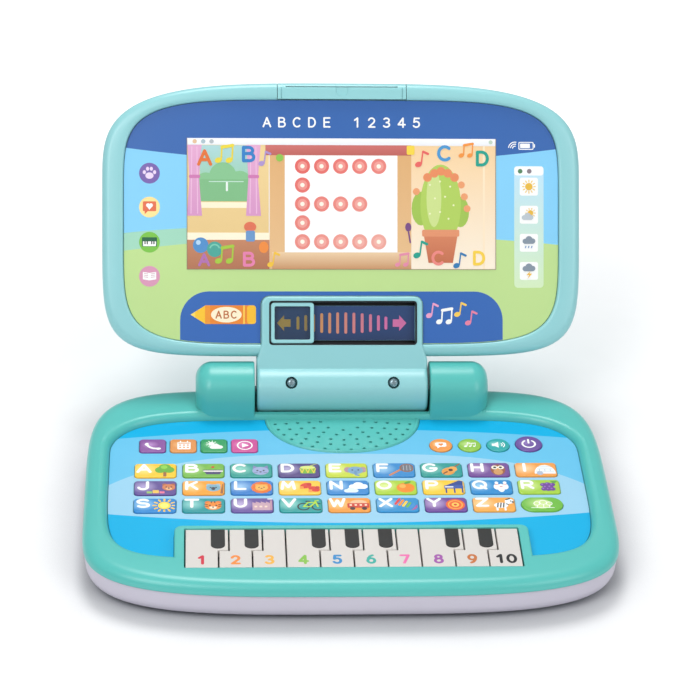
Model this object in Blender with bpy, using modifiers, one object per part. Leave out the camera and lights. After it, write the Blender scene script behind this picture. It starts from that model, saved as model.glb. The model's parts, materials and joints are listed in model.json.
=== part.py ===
"""A toy laptop computer: a keypad base with a ten-key piano, and a hinged lid with a picture screen.

Metres, +Z up, +X to the user's right, +Y away from the user, and the feet stand on Z = 0. The lid is
open as far as it goes. Its pieces are drawn lying flat, with local X across, local Y up the lid from the
hinge axis and local Z out of the screen, under an empty that stands on the hinge axis and leans them back.
"""

import math

import bmesh
import bpy
from mathutils import Matrix, Vector

# ---------------------------------------------------------------- driving dimensions
GAP = 0.0003  # between pieces that touch or rest on each other
WALL = 0.0020  # wall of every moulded shell
RING_POINTS = 48  # points round a casing outline

HINGE_Y = 0.0400
HINGE_Z = 0.0320
LID_LEAN = math.radians(32)  # the lid leans this far back from upright

# Base, heights above the table
FOOT_HEIGHT = 0.0010
SPLIT_Z = 0.0180
RIM_Z = 0.0250
DECK_Z = 0.0192
RIM_ROUND = 0.0055
RIM_SLOPE = 0.0020  # chamfer from the rim down to the film
FILM_Z = 0.0205
FILM_THICK = 0.0010
BOSS_Z = 0.0208
SINK = 0.0010  # how deep an added block stands in the face it is joined to
BOARD_Z = 0.0156
BOARD_THICK = 0.0016
BOARD_HALF = 0.1260
BOARD_TONGUE_HALF = 0.0940
BOARD_REAR, BOARD_STEP, BOARD_FRONT = 0.0160, -0.0780, -0.1120

# Towers that carry the hinge, and the barrel between them
TOWER_INNER = 0.0515
TOWER_OUTER = 0.0860
TOWER_RADIUS = 0.0160
TOWER_BACK = 0.0520
TOWER_WALL = 0.0025
TOWER_ROUND = 0.0080  # edges of the outer end
TOWER_SINK = 0.0008
TOWER_BACK_DROP = 0.0060
TOWER_STEPS = 12
SADDLE_HALF = 0.0526
SADDLE_FRONT, SADDLE_REAR, SADDLE_LOW = 0.0216, 0.0496, 0.0135
BRIDGE_FRONT, BRIDGE_LOW, BRIDGE_HIGH = 0.0250, 0.0180, 0.0233
RELIEF_FRONT, RELIEF_Z = 0.0200, 0.0235  # the rim is cut down here, to clear the neck of a closed lid
TROUGH_CLEARANCE = 0.0010
BARREL_HALF = 0.0502
BARREL_RADIUS = 0.0138
AXLE_RADIUS = 0.0015
AXLE_HALF = 0.0843
BORE_RADIUS = 0.0018
BARREL_HOLLOW_RADIUS = 0.0112
BARREL_HOLLOWS = ((-0.0470, -0.0360), (-0.0240, 0.0240), (0.0360, 0.0470))

# Lid, depths in front of the hinge axis
LID_RIM = 0.0065
LID_BACK = -0.0155
LID_FRONT_ROUND = 0.0040
LID_BACK_ROUND = 0.0070
PANEL_FACE = 0.0042
PANEL_THICK = 0.0017
LEDGE = 0.0022
LEDGE_WIDTH = 0.0040
PANEL_SLOPE = (0.0015, 0.0013)  # chamfer round the panel, across and down
NECK_FACE = 0.0075
NECK_TOP = 0.0542
NECK_CORNER = 0.0060
NECK_FLARE_LOW, NECK_FLARE_HIGH = 0.0170, 0.0260
NECK_ROOT_HIGH = 0.0240
BEZEL_HALF = 0.0475
LED_BOARD_LOW, LED_BOARD_HIGH = (-0.0500, 0.0680, -0.0045), (0.0500, 0.1480, -0.0029)

# Window in the bezel, in which the mode slider runs
WINDOW_LEFT, WINDOW_RIGHT = -0.0421, 0.0434
WINDOW_LOW, WINDOW_HIGH = 0.0263, 0.0507
POCKET_FLOOR = 0.0020
SLOT_HEIGHT = 0.0020
SLIDER_WIDTH = 0.0254
SLIDER_RAIL = 0.0022
SLIDER_CORNER = 0.0014
SLIDER_GAP = 0.0002
SLIDER_BACK, SLIDER_FRONT = 0.0036, 0.0070
RUNNER_INSET = 0.0020
RUNNER_HEIGHT = 0.0013
RUNNER_BACK, RUNNER_FRONT = -0.0012, 0.0045

# Carry handle, cut out of the lid's top rim
HANDLE_HALF = 0.0380
HANDLE_LOW = 0.1700
HANDLE_LEG_X = 0.0300
HANDLE_LEG_LOW = 0.1300
HANDLE_LEG_HALF = 0.0040
HANDLE_LEG_BACK, HANDLE_LEG_FRONT = -0.0125, -0.0085
HANDLE_LEG_ROOT = 0.0030

# Screws that clamp the two halves of the barrel
SCREW_X = 0.0300
SCREW_UP = 0.0034
SCREW_RADIUS = 0.0011
SCREW_HEAD_RADIUS = 0.0027
SCREW_HEAD_Z = 0.0098
SCREW_HEAD_HEIGHT = 0.0020
SCREW_TIP_Z = -0.0070
RECESS_RADIUS = 0.0035
CROSS_LONG, CROSS_WIDE = 0.0017, 0.0004  # half sizes of the cross recess

# Piano
KEY_COUNT = 10
KEY_PITCH = 0.0184
KEY_GAP = 0.0004  # half of the gap between two keys
KEY_REAR = -0.0920
KEY_FRONT = -0.1272
KEY_STEP = 0.0195  # depth of the part beside a black note
KEY_STEP_GAP = 0.00025  # half of the gap along the step
KEY_SHIFT = 0.0057  # how far that part stands to the right
KEY_TOP = 0.0245
KEY_THICK = 0.0045
KEY_AXIS_Z = 0.0220
STRAIGHT_AFTER = (0, 3, 7, 10)  # the gaps after these keys run straight
OPENING_REAR = -0.0915
OPENING_FRONT = -0.1281
OPENING_SIDE_GAP = 0.0003
FRAME_HALF = 0.0978
FRAME_REAR = -0.0882
FRAME_FRONT = -0.1330
PLUNGER_HALF = 0.0030
PLUNGER_REAR, PLUNGER_FRONT = -0.0145, -0.0175  # from the key's rear edge
PLUNGER_LOW = 0.0172

# Buttons
PAD_TOP = 0.0213
PAD_LOW = 0.0183
STEM_LOW = 0.0165
STEM_RADIUS = 0.0022
PAD_GAP = 0.00035
LETTER_SIZE = (0.0237, 0.0138)
LETTER_PITCH_X = 0.0272
LETTER_ROWS = (-0.0295, -0.0468, -0.0641)
LETTERS = ("abcdefghi", "jklmnopqr", "stuvwxyz")
APP_SIZE = (0.0153, 0.0135)
APP_FIRST_X = -0.1108
APP_PITCH = 0.01765
APP_NAMES = ("phone", "calendar", "weather", "play")
TOP_ROW_Y = -0.0042
ROUND_SIZE = (0.0133, 0.0133)
ROUND_PLACES = (("message", 0.0560), ("music", 0.0727), ("volume", 0.0893))
POWER_SIZE = (0.0158, 0.0158)
POWER_PLACE = (0.1073, -0.0030)
CORNER_RADIUS = 0.0020
LETTER_SLOT_HALF = (0.1230, 0.0076)
TOP_SLOTS = (("app", -0.1200, -0.0500), ("round", 0.0480, 0.1170))
TOP_SLOT_FRONT, TOP_SLOT_REAR = 0.0090, 0.0100  # from the middle of the top row

# Speaker and its grille
SPEAKER_Y = 0.0030
SPEAKER_NOTCH_RADIUS = 0.0190
GRILLE_Y = 0.0270
GRILLE_HALF = 0.0455
GRILLE_DEPTH = 0.0380
GRILLE_HOLE = 0.0008
GRILLE_RINGS_Y = 0.0225
GRILLE_RINGS = ((0.0100, 5), (0.0152, 8), (0.0204, 11), (0.0256, 13), (0.0306, 16))  # radius, holes
GRILLE_OVAL = 1.30  # the rings are this much wider than deep
GRILLE_ROUNDNESS = 0.92
GRILLE_BACK = 0.0040
GRILLE_FAN = 0.04  # share of the half turn that each end of a ring is left short by

# Underside
BELLY_INSET = 0.0010  # the white casing stands this far inside the rim
BELLY_ROUND = 0.0090
BAY_HALF_X, BAY_HALF_Y, BAY_Y = 0.0370, 0.0200, -0.0500
BAY_TOP = 0.0132
BAY_WALL = 0.0016
TAB_HALF, TAB_FRONT, TAB_REAR = 0.0060, 0.0010, 0.0030
TAB_LOW, TAB_HIGH = 0.0025, 0.0090
DOOR_WELL_RADIUS = 0.0026
DOOR_WELL_Y = 0.0060  # in from the door's rear edge
POSTS = ((0.1050, 0.0330), (0.1120, -0.1120))
POST_RADIUS = 0.0045
POST_LOW, POST_HIGH = 0.0010, 0.0160
WELL_RADIUS = 0.0030
WELL_TOP = 0.0090
FEET = ((0.1180, 0.0120), (0.1180, -0.0920))
FOOT_RADIUS = 0.0065

PROUD = 0.0001  # keeps two joined faces out of one plane
NEAR = 1e-5  # two points this near each other are one
AWAY = 0.0500  # a cutter that runs right out of a piece ends about this far away


# ---------------------------------------------------------------- outlines
class Outline:
    """A closed rounded outline: two half superellipses that meet where the shape is widest."""

    def __init__(self, half_width, widest, high, low, high_power, low_power, limit=None):
        self.half_width = half_width
        self.widest = widest
        self.high = high
        self.low = low
        self.high_power = high_power
        self.low_power = low_power
        self.limit = limit

    def holds(self, x, y, grow):
        if self.limit is not None and y > self.limit + grow:
            return False
        reach, power = (self.high, self.high_power) if y > self.widest else (self.low, self.low_power)
        across = abs(x) / (self.half_width + grow)
        along = abs(y - self.widest) / (abs(reach - self.widest) + grow)
        return across**power + along**power < 1

    def corner_directions(self, centre_y, count=RING_POINTS):
        """Directions from the centre that crowd where this outline turns, the same left and right."""
        found = []
        for k in range(count):
            turn = 2 * math.pi * (k + 0.5) / count
            reach, power = (self.high, self.high_power) if turn < math.pi else (self.low, self.low_power)
            x = math.copysign(abs(math.cos(turn)) ** (2 / power), math.cos(turn)) * self.half_width
            y = self.widest + abs(math.sin(turn)) ** (2 / power) * (reach - self.widest)
            found.append(Vector((x, y - centre_y)).normalized())
        return found

    def points(self, directions, centre_y, grow=0.0):
        """Where each direction from the centre leaves the outline grown by that much."""
        found = []
        for way in directions:
            inside, outside = 0.0, 2 * self.half_width
            for _ in range(40):
                middle = (inside + outside) / 2
                if self.holds(way.x * middle, centre_y + way.y * middle, grow):
                    inside = middle
                else:
                    outside = middle
            found.append((way.x * inside, centre_y + way.y * inside))
        return found


BASE = Outline(0.1485, -0.0797, 0.0530, -0.1458, 6.3, 3.7)
FILM = Outline(0.1354, -0.0105, 0.0418, -0.1160, 2.14, 7.5, limit=HINGE_Y - TOWER_RADIUS)
LID = Outline(0.1409, 0.1192, 0.1798, 0.0189, 3.6, 7.3)
PANEL = Outline(0.1280, 0.1048, 0.1695, 0.0262, 5.1, 6.2)
BASE_MIDDLE = -0.0450
LID_MIDDLE = 0.0990
BASE_WAYS = BASE.corner_directions(BASE_MIDDLE)
LID_WAYS = LID.corner_directions(LID_MIDDLE)


def base_ring(outline, grow, z):
    return [(x, y, z) for x, y in outline.points(BASE_WAYS, BASE_MIDDLE, grow)]


def lid_ring(outline, grow, z):
    return [(x, y, z) for x, y in outline.points(LID_WAYS, LID_MIDDLE, grow)]


def rounded_edge(radius, steps):
    """(inset, drop) pairs round a quarter circle, from the side face to the top face."""
    for k in range(steps + 1):
        turn = math.pi / 2 * k / steps
        yield radius * (1 - math.cos(turn)), radius * (1 - math.sin(turn))


# ---------------------------------------------------------------- scene and materials
def clear_scene():
    for obj in list(bpy.data.objects):
        bpy.data.objects.remove(obj)


def make_collection(name):
    collection = bpy.data.collections.new(name)
    bpy.context.scene.collection.children.link(collection)
    return collection


def make_material(name, colour, roughness, metallic=0.0):
    material = bpy.data.materials.new(name)
    material.use_nodes = True
    shader = material.node_tree.nodes["Principled BSDF"]
    shader.inputs["Base Color"].default_value = (*colour, 1.0)
    shader.inputs["Roughness"].default_value = roughness
    shader.inputs["Metallic"].default_value = metallic
    return material


clear_scene()
PARTS = make_collection("toy_laptop")
CUTTERS = make_collection("cutters")


# ---------------------------------------------------------------- mesh helpers
def mesh_object(name, bm, cutter=False):
    mesh = bpy.data.meshes.new(name)
    bm.to_mesh(mesh)
    bm.free()
    obj = bpy.data.objects.new(name, mesh)
    if cutter:
        obj.hide_render = True
        obj.display_type = "WIRE"
        CUTTERS.objects.link(obj)
    else:
        PARTS.objects.link(obj)
    return obj


def loft(name, rings, cap_first=False, cap_last=False, cutter=False):
    """A surface through rings of equally many points, each ring joined to the next by a band of quads."""
    bm = bmesh.new()
    loops = [[bm.verts.new(point) for point in ring] for ring in rings]
    for first, second in zip(loops, loops[1:]):
        for k in range(len(first)):
            bm.faces.new((first[k - 1], first[k], second[k], second[k - 1]))
    for wanted, loop in ((cap_first, loops[0]), (cap_last, loops[-1])):
        if wanted:
            bm.faces.new(loop)
    bmesh.ops.recalc_face_normals(bm, faces=bm.faces)
    return mesh_object(name, bm, cutter)


def flip_if_inward(obj, z_up):
    """Turns a shell's faces round when the face on its flat middle looks the wrong way."""
    middle = max(obj.data.polygons, key=lambda face: face.area)
    if (middle.normal.z > 0) != z_up:
        obj.data.flip_normals()


def box(name, low, high, cutter=False):
    bm = bmesh.new()
    size = Vector(high) - Vector(low)
    place = Matrix.Translation((Vector(high) + Vector(low)) / 2) @ Matrix.Diagonal((*size, 1))
    bmesh.ops.create_cube(bm, size=1, matrix=place)
    return mesh_object(name, bm, cutter)


YZX_TO_XYZ = Matrix(((0, 0, 1, 0), (1, 0, 0, 0), (0, 1, 0, 0), (0, 0, 0, 1)))
AXIS_TURN = {
    "X": Matrix.Rotation(math.pi / 2, 4, "Y"),
    "Z": Matrix.Identity(4),
}


def cylinder(name, radius, centre, length, axis="Z", sides=16, cutter=False):
    """A cylinder centred on a point."""
    bm = bmesh.new()
    place = Matrix.Translation(centre) @ AXIS_TURN[axis]
    bmesh.ops.create_cone(
        bm, cap_ends=True, segments=sides, radius1=radius, radius2=radius, depth=length, matrix=place
    )
    return mesh_object(name, bm, cutter)


def prisms(name, outlines, low, high, cutter=True):
    """Upright prisms on filled outlines that don't touch, all in one object."""
    bm = bmesh.new()
    for outline in outlines:
        face = bm.faces.new([bm.verts.new((x, y, low)) for x, y in outline])
        grown = bmesh.ops.extrude_face_region(bm, geom=[face])["geom"]
        top = [item for item in grown if isinstance(item, bmesh.types.BMVert)]
        bmesh.ops.translate(bm, verts=top, vec=(0, 0, high - low))
    bmesh.ops.recalc_face_normals(bm, faces=bm.faces)
    return mesh_object(name, bm, cutter)


def plate(name, outline, low, high, cutter=False):
    """A flat plate between two heights."""
    return prisms(name, [outline], low, high, cutter)


def boolean(obj, operation, *others):
    """Adds one EXACT Boolean modifier for each of the other objects."""
    for other in others:
        modifier = obj.modifiers.new(other.name, "BOOLEAN")
        modifier.operation = operation
        modifier.solver = "EXACT"
        modifier.object = other
        other.parent = obj.parent


def solidify(obj, thickness=WALL):
    modifier = obj.modifiers.new("wall", "SOLIDIFY")
    modifier.thickness = thickness
    modifier.offset = -1
    modifier.use_even_offset = True


def rounded_rectangle(x, y, width, depth, radius, steps=2):
    """Corner arcs of a rectangle centred on a point."""
    found = []
    for corner in range(4):
        side_x = (1, -1, -1, 1)[corner]
        side_y = (1, 1, -1, -1)[corner]
        middle_x = x + side_x * (width / 2 - radius)
        middle_y = y + side_y * (depth / 2 - radius)
        for k in range(steps + 1):
            turn = math.pi / 2 * (corner + k / steps)
            found.append((middle_x + radius * math.cos(turn), middle_y + radius * math.sin(turn)))
    return found


def finish(obj, material, smooth_angle=None):
    obj.data.materials.append(material)
    if smooth_angle is not None:
        obj.data.shade_smooth()
        obj.data.set_sharp_from_angle(angle=math.radians(smooth_angle))


# ---------------------------------------------------------------- colours of the mouldings
TEAL = make_material("teal_base", (0.17, 0.62, 0.56), 0.35)
LID_TEAL = make_material("teal_lid", (0.28, 0.66, 0.68), 0.35)
WHITE = make_material("white_casing", (0.74, 0.72, 0.78), 0.40)
KEY_WHITE = make_material("piano_key_white", (0.83, 0.81, 0.77), 0.40)
FILM_BLUE = make_material("printed_film", (0.20, 0.60, 0.90), 0.25)
PANEL_PRINT = make_material("printed_panel", (0.30, 0.60, 0.80), 0.20)
PAD_PRINT = make_material("printed_button", (0.85, 0.50, 0.20), 0.25)
BOARD_GREEN = make_material("circuit_board", (0.05, 0.28, 0.12), 0.45)
SPEAKER_BLACK = make_material("speaker_frame", (0.03, 0.03, 0.03), 0.50)
STEEL = make_material("steel", (0.55, 0.56, 0.58), 0.30, metallic=1.0)


# ---------------------------------------------------------------- base casings
def tower_cutters(side):
    """The tower's outer form and the hollow inside it."""
    forms = []
    for label, shrink in (("form", 0.0), ("hollow", TOWER_WALL)):
        radius = TOWER_RADIUS - shrink
        low_z = DECK_Z - TOWER_SINK - shrink
        back_y = TOWER_BACK - shrink
        arc = [math.pi * k / TOWER_STEPS for k in range(TOWER_STEPS + 1)]
        outline = [(HINGE_Y + radius * math.cos(turn), HINGE_Z + radius * math.sin(turn)) for turn in arc]
        outline += [(HINGE_Y - radius, low_z), (back_y, low_z), (back_y, HINGE_Z - TOWER_BACK_DROP)]
        end_x = side * (TOWER_OUTER - shrink)
        ends = sorted((side * (TOWER_INNER + shrink), end_x))
        form = plate(f"tower_{label}_{side}", outline, *ends, cutter=True)
        form.data.transform(YZX_TO_XYZ)
        round_tower_end(form, end_x, TOWER_ROUND - shrink)
        forms.append(form)
    return forms


def round_tower_end(form, face_x, radius):
    """Rounds the edges of the outer end face, apart from the one at the bottom."""
    bm = bmesh.new()
    bm.from_mesh(form.data)
    low_z = min(vert.co.z for vert in bm.verts)
    rim = []
    for edge in bm.edges:
        on_end = all(abs(vert.co.x - face_x) < NEAR for vert in edge.verts)
        if on_end and max(vert.co.z for vert in edge.verts) > low_z + NEAR:
            rim.append(edge)
    bmesh.ops.bevel(bm, geom=rim, offset=radius, segments=3, profile=0.5, affect="EDGES")
    bm.to_mesh(form.data)
    bm.free()


def grille_holes():
    """Small holes on rings that fan out from the back of the grille."""
    bm = bmesh.new()
    size = {"segments": 4, "radius1": GRILLE_HOLE, "radius2": GRILLE_HOLE, "depth": 4 * WALL}
    for radius, count in GRILLE_RINGS:
        for k in range(count):
            turn = math.pi * (1 + GRILLE_FAN + (1 - 2 * GRILLE_FAN) * k / (count - 1))
            x, y = GRILLE_OVAL * radius * math.cos(turn), GRILLE_RINGS_Y + radius * math.sin(turn)
            bmesh.ops.create_cone(bm, cap_ends=True, matrix=Matrix.Translation((x, y, DECK_Z)), **size)
    return mesh_object("grille_holes", bm, cutter=True)


def grille_outline(grow):
    """The D of the grille: a straight back edge and a bowed front."""
    reach = GRILLE_HALF + grow
    found = [(reach, GRILLE_Y + GRILLE_BACK), (-reach, GRILLE_Y + GRILLE_BACK)]
    steps = 18
    for k in range(steps + 1):
        turn = math.pi * (1 + k / steps)
        x = math.copysign(abs(math.cos(turn)) ** GRILLE_ROUNDNESS, math.cos(turn)) * reach
        y = GRILLE_Y - abs(math.sin(turn)) ** GRILLE_ROUNDNESS * (GRILLE_DEPTH + grow)
        found.append((x, y))
    return found


def hinge_cylinder(name, radius, length, sides):
    """A cutter along the hinge axis, in the base's own frame."""
    return cylinder(name, radius, (0, HINGE_Y, HINGE_Z), length, "X", sides, cutter=True)


def deck_cutter(name, half_x, low_y, high_y, middle_x=0.0):
    """A cutter that opens the deck under the film."""
    low = (middle_x - half_x, low_y, DECK_Z - 3 * WALL)
    return box(name, low, (middle_x + half_x, high_y, DECK_Z + WALL / 2), cutter=True)


def build_base_top_casing():
    rings = [base_ring(BASE, 0, SPLIT_Z + GAP / 2)]
    for inset, drop in rounded_edge(RIM_ROUND, 3):
        rings.append(base_ring(BASE, -inset, RIM_Z - drop))
    rings.append(base_ring(FILM, RIM_SLOPE, RIM_Z))
    rings.append(base_ring(FILM, 0.0, RIM_Z - RIM_SLOPE))
    rings.append(base_ring(FILM, 0.0, DECK_Z))
    casing = loft("base_top_casing", rings, cap_last=True)
    flip_if_inward(casing, z_up=True)
    solidify(casing)

    left_form, left_hollow = tower_cutters(-1)
    right_form, right_hollow = tower_cutters(1)
    low, high = (-SADDLE_HALF, SADDLE_FRONT, SADDLE_LOW), (SADDLE_HALF, SADDLE_REAR, DECK_Z + PROUD)
    saddle = box("saddle_block", low, high, cutter=True)
    boss = plate("grille_boss", grille_outline(0), DECK_Z - SINK, BOSS_Z, cutter=True)
    low, high = (-FRAME_HALF, FRAME_FRONT, DECK_Z - SINK), (FRAME_HALF, FRAME_REAR, RIM_Z - PROUD)
    frame = box("piano_frame", low, high, cutter=True)
    low, high = (-SADDLE_HALF, BRIDGE_FRONT, BRIDGE_LOW), (SADDLE_HALF, SADDLE_REAR - SINK, BRIDGE_HIGH)
    bridge = box("rear_bridge", low, high, cutter=True)
    low, high = (-SADDLE_HALF, RELIEF_FRONT, RELIEF_Z), (SADDLE_HALF, SADDLE_REAR + SINK, RIM_Z + SINK)
    boolean(casing, "DIFFERENCE", box("neck_relief", low, high, cutter=True))
    boolean(casing, "UNION", saddle, bridge, boss, frame, left_form, right_form)

    trough = hinge_cylinder("barrel_trough", BARREL_RADIUS + TROUGH_CLEARANCE, 2 * TOWER_INNER, 32)
    bore = hinge_cylinder("hinge_bore", BORE_RADIUS, 2 * (AXLE_HALF + GAP), 12)
    half = KEY_PITCH * KEY_COUNT / 2 + OPENING_SIDE_GAP
    low, high = (-half, OPENING_FRONT, DECK_Z - AWAY), (half, OPENING_REAR, DECK_Z + AWAY)
    opening = box("piano_opening", low, high, cutter=True)
    boolean(casing, "DIFFERENCE", trough, opening, left_hollow, right_hollow, bore, grille_holes())
    half_x, half_y = LETTER_SLOT_HALF
    for k, y in enumerate(LETTER_ROWS):
        boolean(casing, "DIFFERENCE", deck_cutter(f"letter_slot_{k}", half_x, y - half_y, y + half_y))
    for label, low_x, high_x in TOP_SLOTS:
        ends = (TOP_ROW_Y - TOP_SLOT_FRONT, TOP_ROW_Y + TOP_SLOT_REAR)
        slot = deck_cutter(f"{label}_slot", (high_x - low_x) / 2, *ends, (low_x + high_x) / 2)
        boolean(casing, "DIFFERENCE", slot)
    finish(casing, TEAL, 35)


def upright(name, radius, x, y, low, high, sides):
    """An upright cylinder between two heights, as a cutter."""
    return cylinder(name, radius, (x, y, (low + high) / 2), high - low, "Z", sides, cutter=True)


def bay_box(name, grow, low, high):
    """The battery bay's rectangle, grown by a wall, between two heights."""
    half_x, half_y = BAY_HALF_X + grow, BAY_HALF_Y + grow
    return box(name, (-half_x, BAY_Y - half_y, low), (half_x, BAY_Y + half_y, high), cutter=True)


def build_base_bottom_casing():
    rings = [base_ring(BASE, -BELLY_INSET, SPLIT_Z - GAP / 2)]
    for inset, drop in rounded_edge(BELLY_ROUND, 3):
        rings.append(base_ring(BASE, -BELLY_INSET - inset, FOOT_HEIGHT + drop))
    casing = loft("base_bottom_casing", rings, cap_last=True)
    flip_if_inward(casing, z_up=False)
    solidify(casing)

    bay = bay_box("bay_walls", BAY_WALL, FOOT_HEIGHT + WALL / 4, BAY_TOP)
    boolean(casing, "UNION", bay)
    for side in (-1, 1):
        for k, (x, y) in enumerate(POSTS):
            post = upright(f"post_{side}_{k}", POST_RADIUS, side * x, y, POST_LOW, POST_HIGH, 12)
            boolean(casing, "UNION", post)
        for k, (x, y) in enumerate(FEET):
            foot = upright(f"foot_{side}_{k}", FOOT_RADIUS, side * x, y, 0, 2 * FOOT_HEIGHT, 16)
            boolean(casing, "UNION", foot)
    boolean(casing, "DIFFERENCE", bay_box("bay_hole", 0, -AWAY, AWAY))
    for side in (-1, 1):
        for k, (x, y) in enumerate(POSTS):
            well = upright(f"well_{side}_{k}", WELL_RADIUS, side * x, y, -SINK, WELL_TOP, 12)
            boolean(casing, "DIFFERENCE", well)
    finish(casing, WHITE, 35)


def build_battery_door():
    half = BAY_HALF_X - GAP
    front, rear = BAY_Y - BAY_HALF_Y + GAP, BAY_Y + BAY_HALF_Y - GAP
    door = box("battery_door", (-half, front, FOOT_HEIGHT), (half, rear, FOOT_HEIGHT + WALL))
    low, high = (-TAB_HALF, front + TAB_FRONT, TAB_LOW), (TAB_HALF, front + TAB_REAR, TAB_HIGH)
    tab = box("door_tab", low, high, cutter=True)
    well = upright("door_well", DOOR_WELL_RADIUS, 0, rear - DOOR_WELL_Y, 0, FOOT_HEIGHT + WALL / 2, 12)
    boolean(door, "UNION", tab)
    boolean(door, "DIFFERENCE", well)
    finish(door, WHITE)


def build_main_circuit_board():
    right = [
        (BOARD_TONGUE_HALF, BOARD_FRONT), (BOARD_TONGUE_HALF, BOARD_STEP),
        (BOARD_HALF, BOARD_STEP), (BOARD_HALF, BOARD_REAR),
    ]
    outline = right + [(-x, y) for x, y in reversed(right)]
    board = plate("main_circuit_board", outline, BOARD_Z - BOARD_THICK, BOARD_Z)
    ends = (BOARD_Z - 2 * BOARD_THICK, BOARD_Z + BOARD_THICK)
    notch = upright("speaker_notch", SPEAKER_NOTCH_RADIUS, 0, SPEAKER_Y, *ends, 24)
    boolean(board, "DIFFERENCE", notch)
    finish(board, BOARD_GREEN)


def build_speaker():
    profile = (
        (0.0000, 0.0145), (0.0040, 0.0140), (0.0130, 0.0158), (0.0150, 0.0169), (0.0175, 0.0169),
        (0.0175, 0.0152), (0.0110, 0.0095), (0.0110, 0.0050), (0.0000, 0.0050),
    )
    bm = bmesh.new()
    verts = [bm.verts.new((radius, 0, z)) for radius, z in profile]
    for first, second in zip(verts, verts[1:]):
        bm.edges.new((first, second))
    speaker = mesh_object("speaker", bm)
    speaker.location = (0, SPEAKER_Y, 0)
    modifier = speaker.modifiers.new("turn", "SCREW")
    modifier.steps = 20
    modifier.render_steps = 20
    modifier.use_merge_vertices = True
    modifier.merge_threshold = 1e-5
    finish(speaker, SPEAKER_BLACK, 35)


# ---------------------------------------------------------------- buttons and their film
def button_places():
    """(name, x, y, size, corner radius) of every button under the film."""
    found = []
    for row, (letters, y) in enumerate(zip(LETTERS, LETTER_ROWS)):
        for column, letter in enumerate(letters):
            x = (column - 4) * LETTER_PITCH_X
            found.append((f"button_{letter}", x, y, LETTER_SIZE, CORNER_RADIUS))
    found.append(("button_tree", 4 * LETTER_PITCH_X, LETTER_ROWS[2], LETTER_SIZE, LETTER_SIZE[1] / 2))
    for k, name in enumerate(APP_NAMES):
        found.append((f"button_{name}", APP_FIRST_X + k * APP_PITCH, TOP_ROW_Y, APP_SIZE, CORNER_RADIUS))
    for name, x in ROUND_PLACES:
        found.append((f"button_{name}", x, TOP_ROW_Y, ROUND_SIZE, ROUND_SIZE[0] / 2))
    found.append(("button_power", *POWER_PLACE, POWER_SIZE, POWER_SIZE[0] / 2))
    return found


def pad_outline(size, radius, x=0.0, y=0.0, grow=0.0):
    steps = 1 if radius <= CORNER_RADIUS else 3
    return rounded_rectangle(x, y, size[0] + 2 * grow, size[1] + 2 * grow, radius + grow, steps)


def pad_mesh(name, size, radius):
    """A raised pad on a stem that reaches down to its contact on the circuit board."""
    outline = pad_outline(size, radius)
    turns = [math.atan2(y, x) for x, y in outline]
    stem = [(STEM_RADIUS * math.cos(turn), STEM_RADIUS * math.sin(turn)) for turn in turns]
    rings = [
        [(x, y, STEM_LOW - PAD_TOP) for x, y in stem],
        [(x, y, PAD_LOW - PAD_TOP) for x, y in stem],
        [(x, y, PAD_LOW - PAD_TOP) for x, y in outline],
        [(x, y, 0) for x, y in outline],
    ]
    return loft(name, rings, cap_first=True, cap_last=True)


def build_buttons():
    meshes = {}
    for name, x, y, size, radius in button_places():
        shape = (size, radius)
        if shape in meshes:
            pad = bpy.data.objects.new(name, meshes[shape])
            PARTS.objects.link(pad)
        else:
            pad = pad_mesh(name, size, radius)
            finish(pad, PAD_PRINT)
            meshes[shape] = pad.data
        pad.location = (x, y, PAD_TOP)


def build_keypad_overlay():
    outer = FILM.points(BASE_WAYS, BASE_MIDDLE, -GAP)
    holes = [pad_outline(size, radius, x, y, PAD_GAP) for _, x, y, size, radius in button_places()]
    film = plate("keypad_overlay", outer, FILM_Z - FILM_THICK, FILM_Z)
    half = FRAME_HALF + GAP
    frame = box("film_frame_notch", (-half, FRAME_FRONT, 0), (half, FRAME_REAR + GAP, AWAY), cutter=True)
    grille = plate("film_grille_notch", grille_outline(GAP), 0, AWAY, cutter=True)
    boolean(film, "DIFFERENCE", prisms("film_holes", holes, 0, AWAY), frame, grille)
    finish(film, FILM_BLUE)


# ---------------------------------------------------------------- piano
def key_shift(boundary):
    return 0.0 if boundary in STRAIGHT_AFTER else KEY_SHIFT


def build_piano_keys():
    for number in range(1, KEY_COUNT + 1):
        left = (number - 1 - KEY_COUNT / 2) * KEY_PITCH + KEY_GAP
        right = (number - KEY_COUNT / 2) * KEY_PITCH - KEY_GAP
        rear_left, rear_right = left + key_shift(number - 1), right + key_shift(number)
        front = KEY_FRONT - KEY_REAR
        outline = [(left, front), (right, front)]
        if rear_right != right:
            step = KEY_STEP_GAP - KEY_STEP
            outline += [(right, step), (rear_right, step)]
        outline += [(rear_right, 0), (rear_left, 0)]
        if rear_left != left:
            step = -KEY_STEP_GAP - KEY_STEP
            outline += [(rear_left, step), (left, step)]
        top = KEY_TOP - KEY_AXIS_Z
        key = plate(f"piano_key_{number:02d}", outline, top - KEY_THICK, top)
        middle = (max(left, rear_left) + right) / 2
        low = (middle - PLUNGER_HALF, PLUNGER_FRONT, PLUNGER_LOW - KEY_AXIS_Z)
        high = (middle + PLUNGER_HALF, PLUNGER_REAR, top - KEY_THICK / 2)
        plunger = box(f"plunger_{number:02d}", low, high, cutter=True)
        key.location = (0, KEY_REAR, KEY_AXIS_Z)
        plunger.location = key.location
        boolean(key, "UNION", plunger)
        finish(key, KEY_WHITE)


# ---------------------------------------------------------------- lid
def on_lid(obj, lid):
    """Hangs a piece that was drawn flat on the empty at the hinge axis."""
    obj.parent = lid
    for modifier in obj.modifiers:
        if modifier.type == "BOOLEAN":
            modifier.object.parent = lid
    return obj


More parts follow.
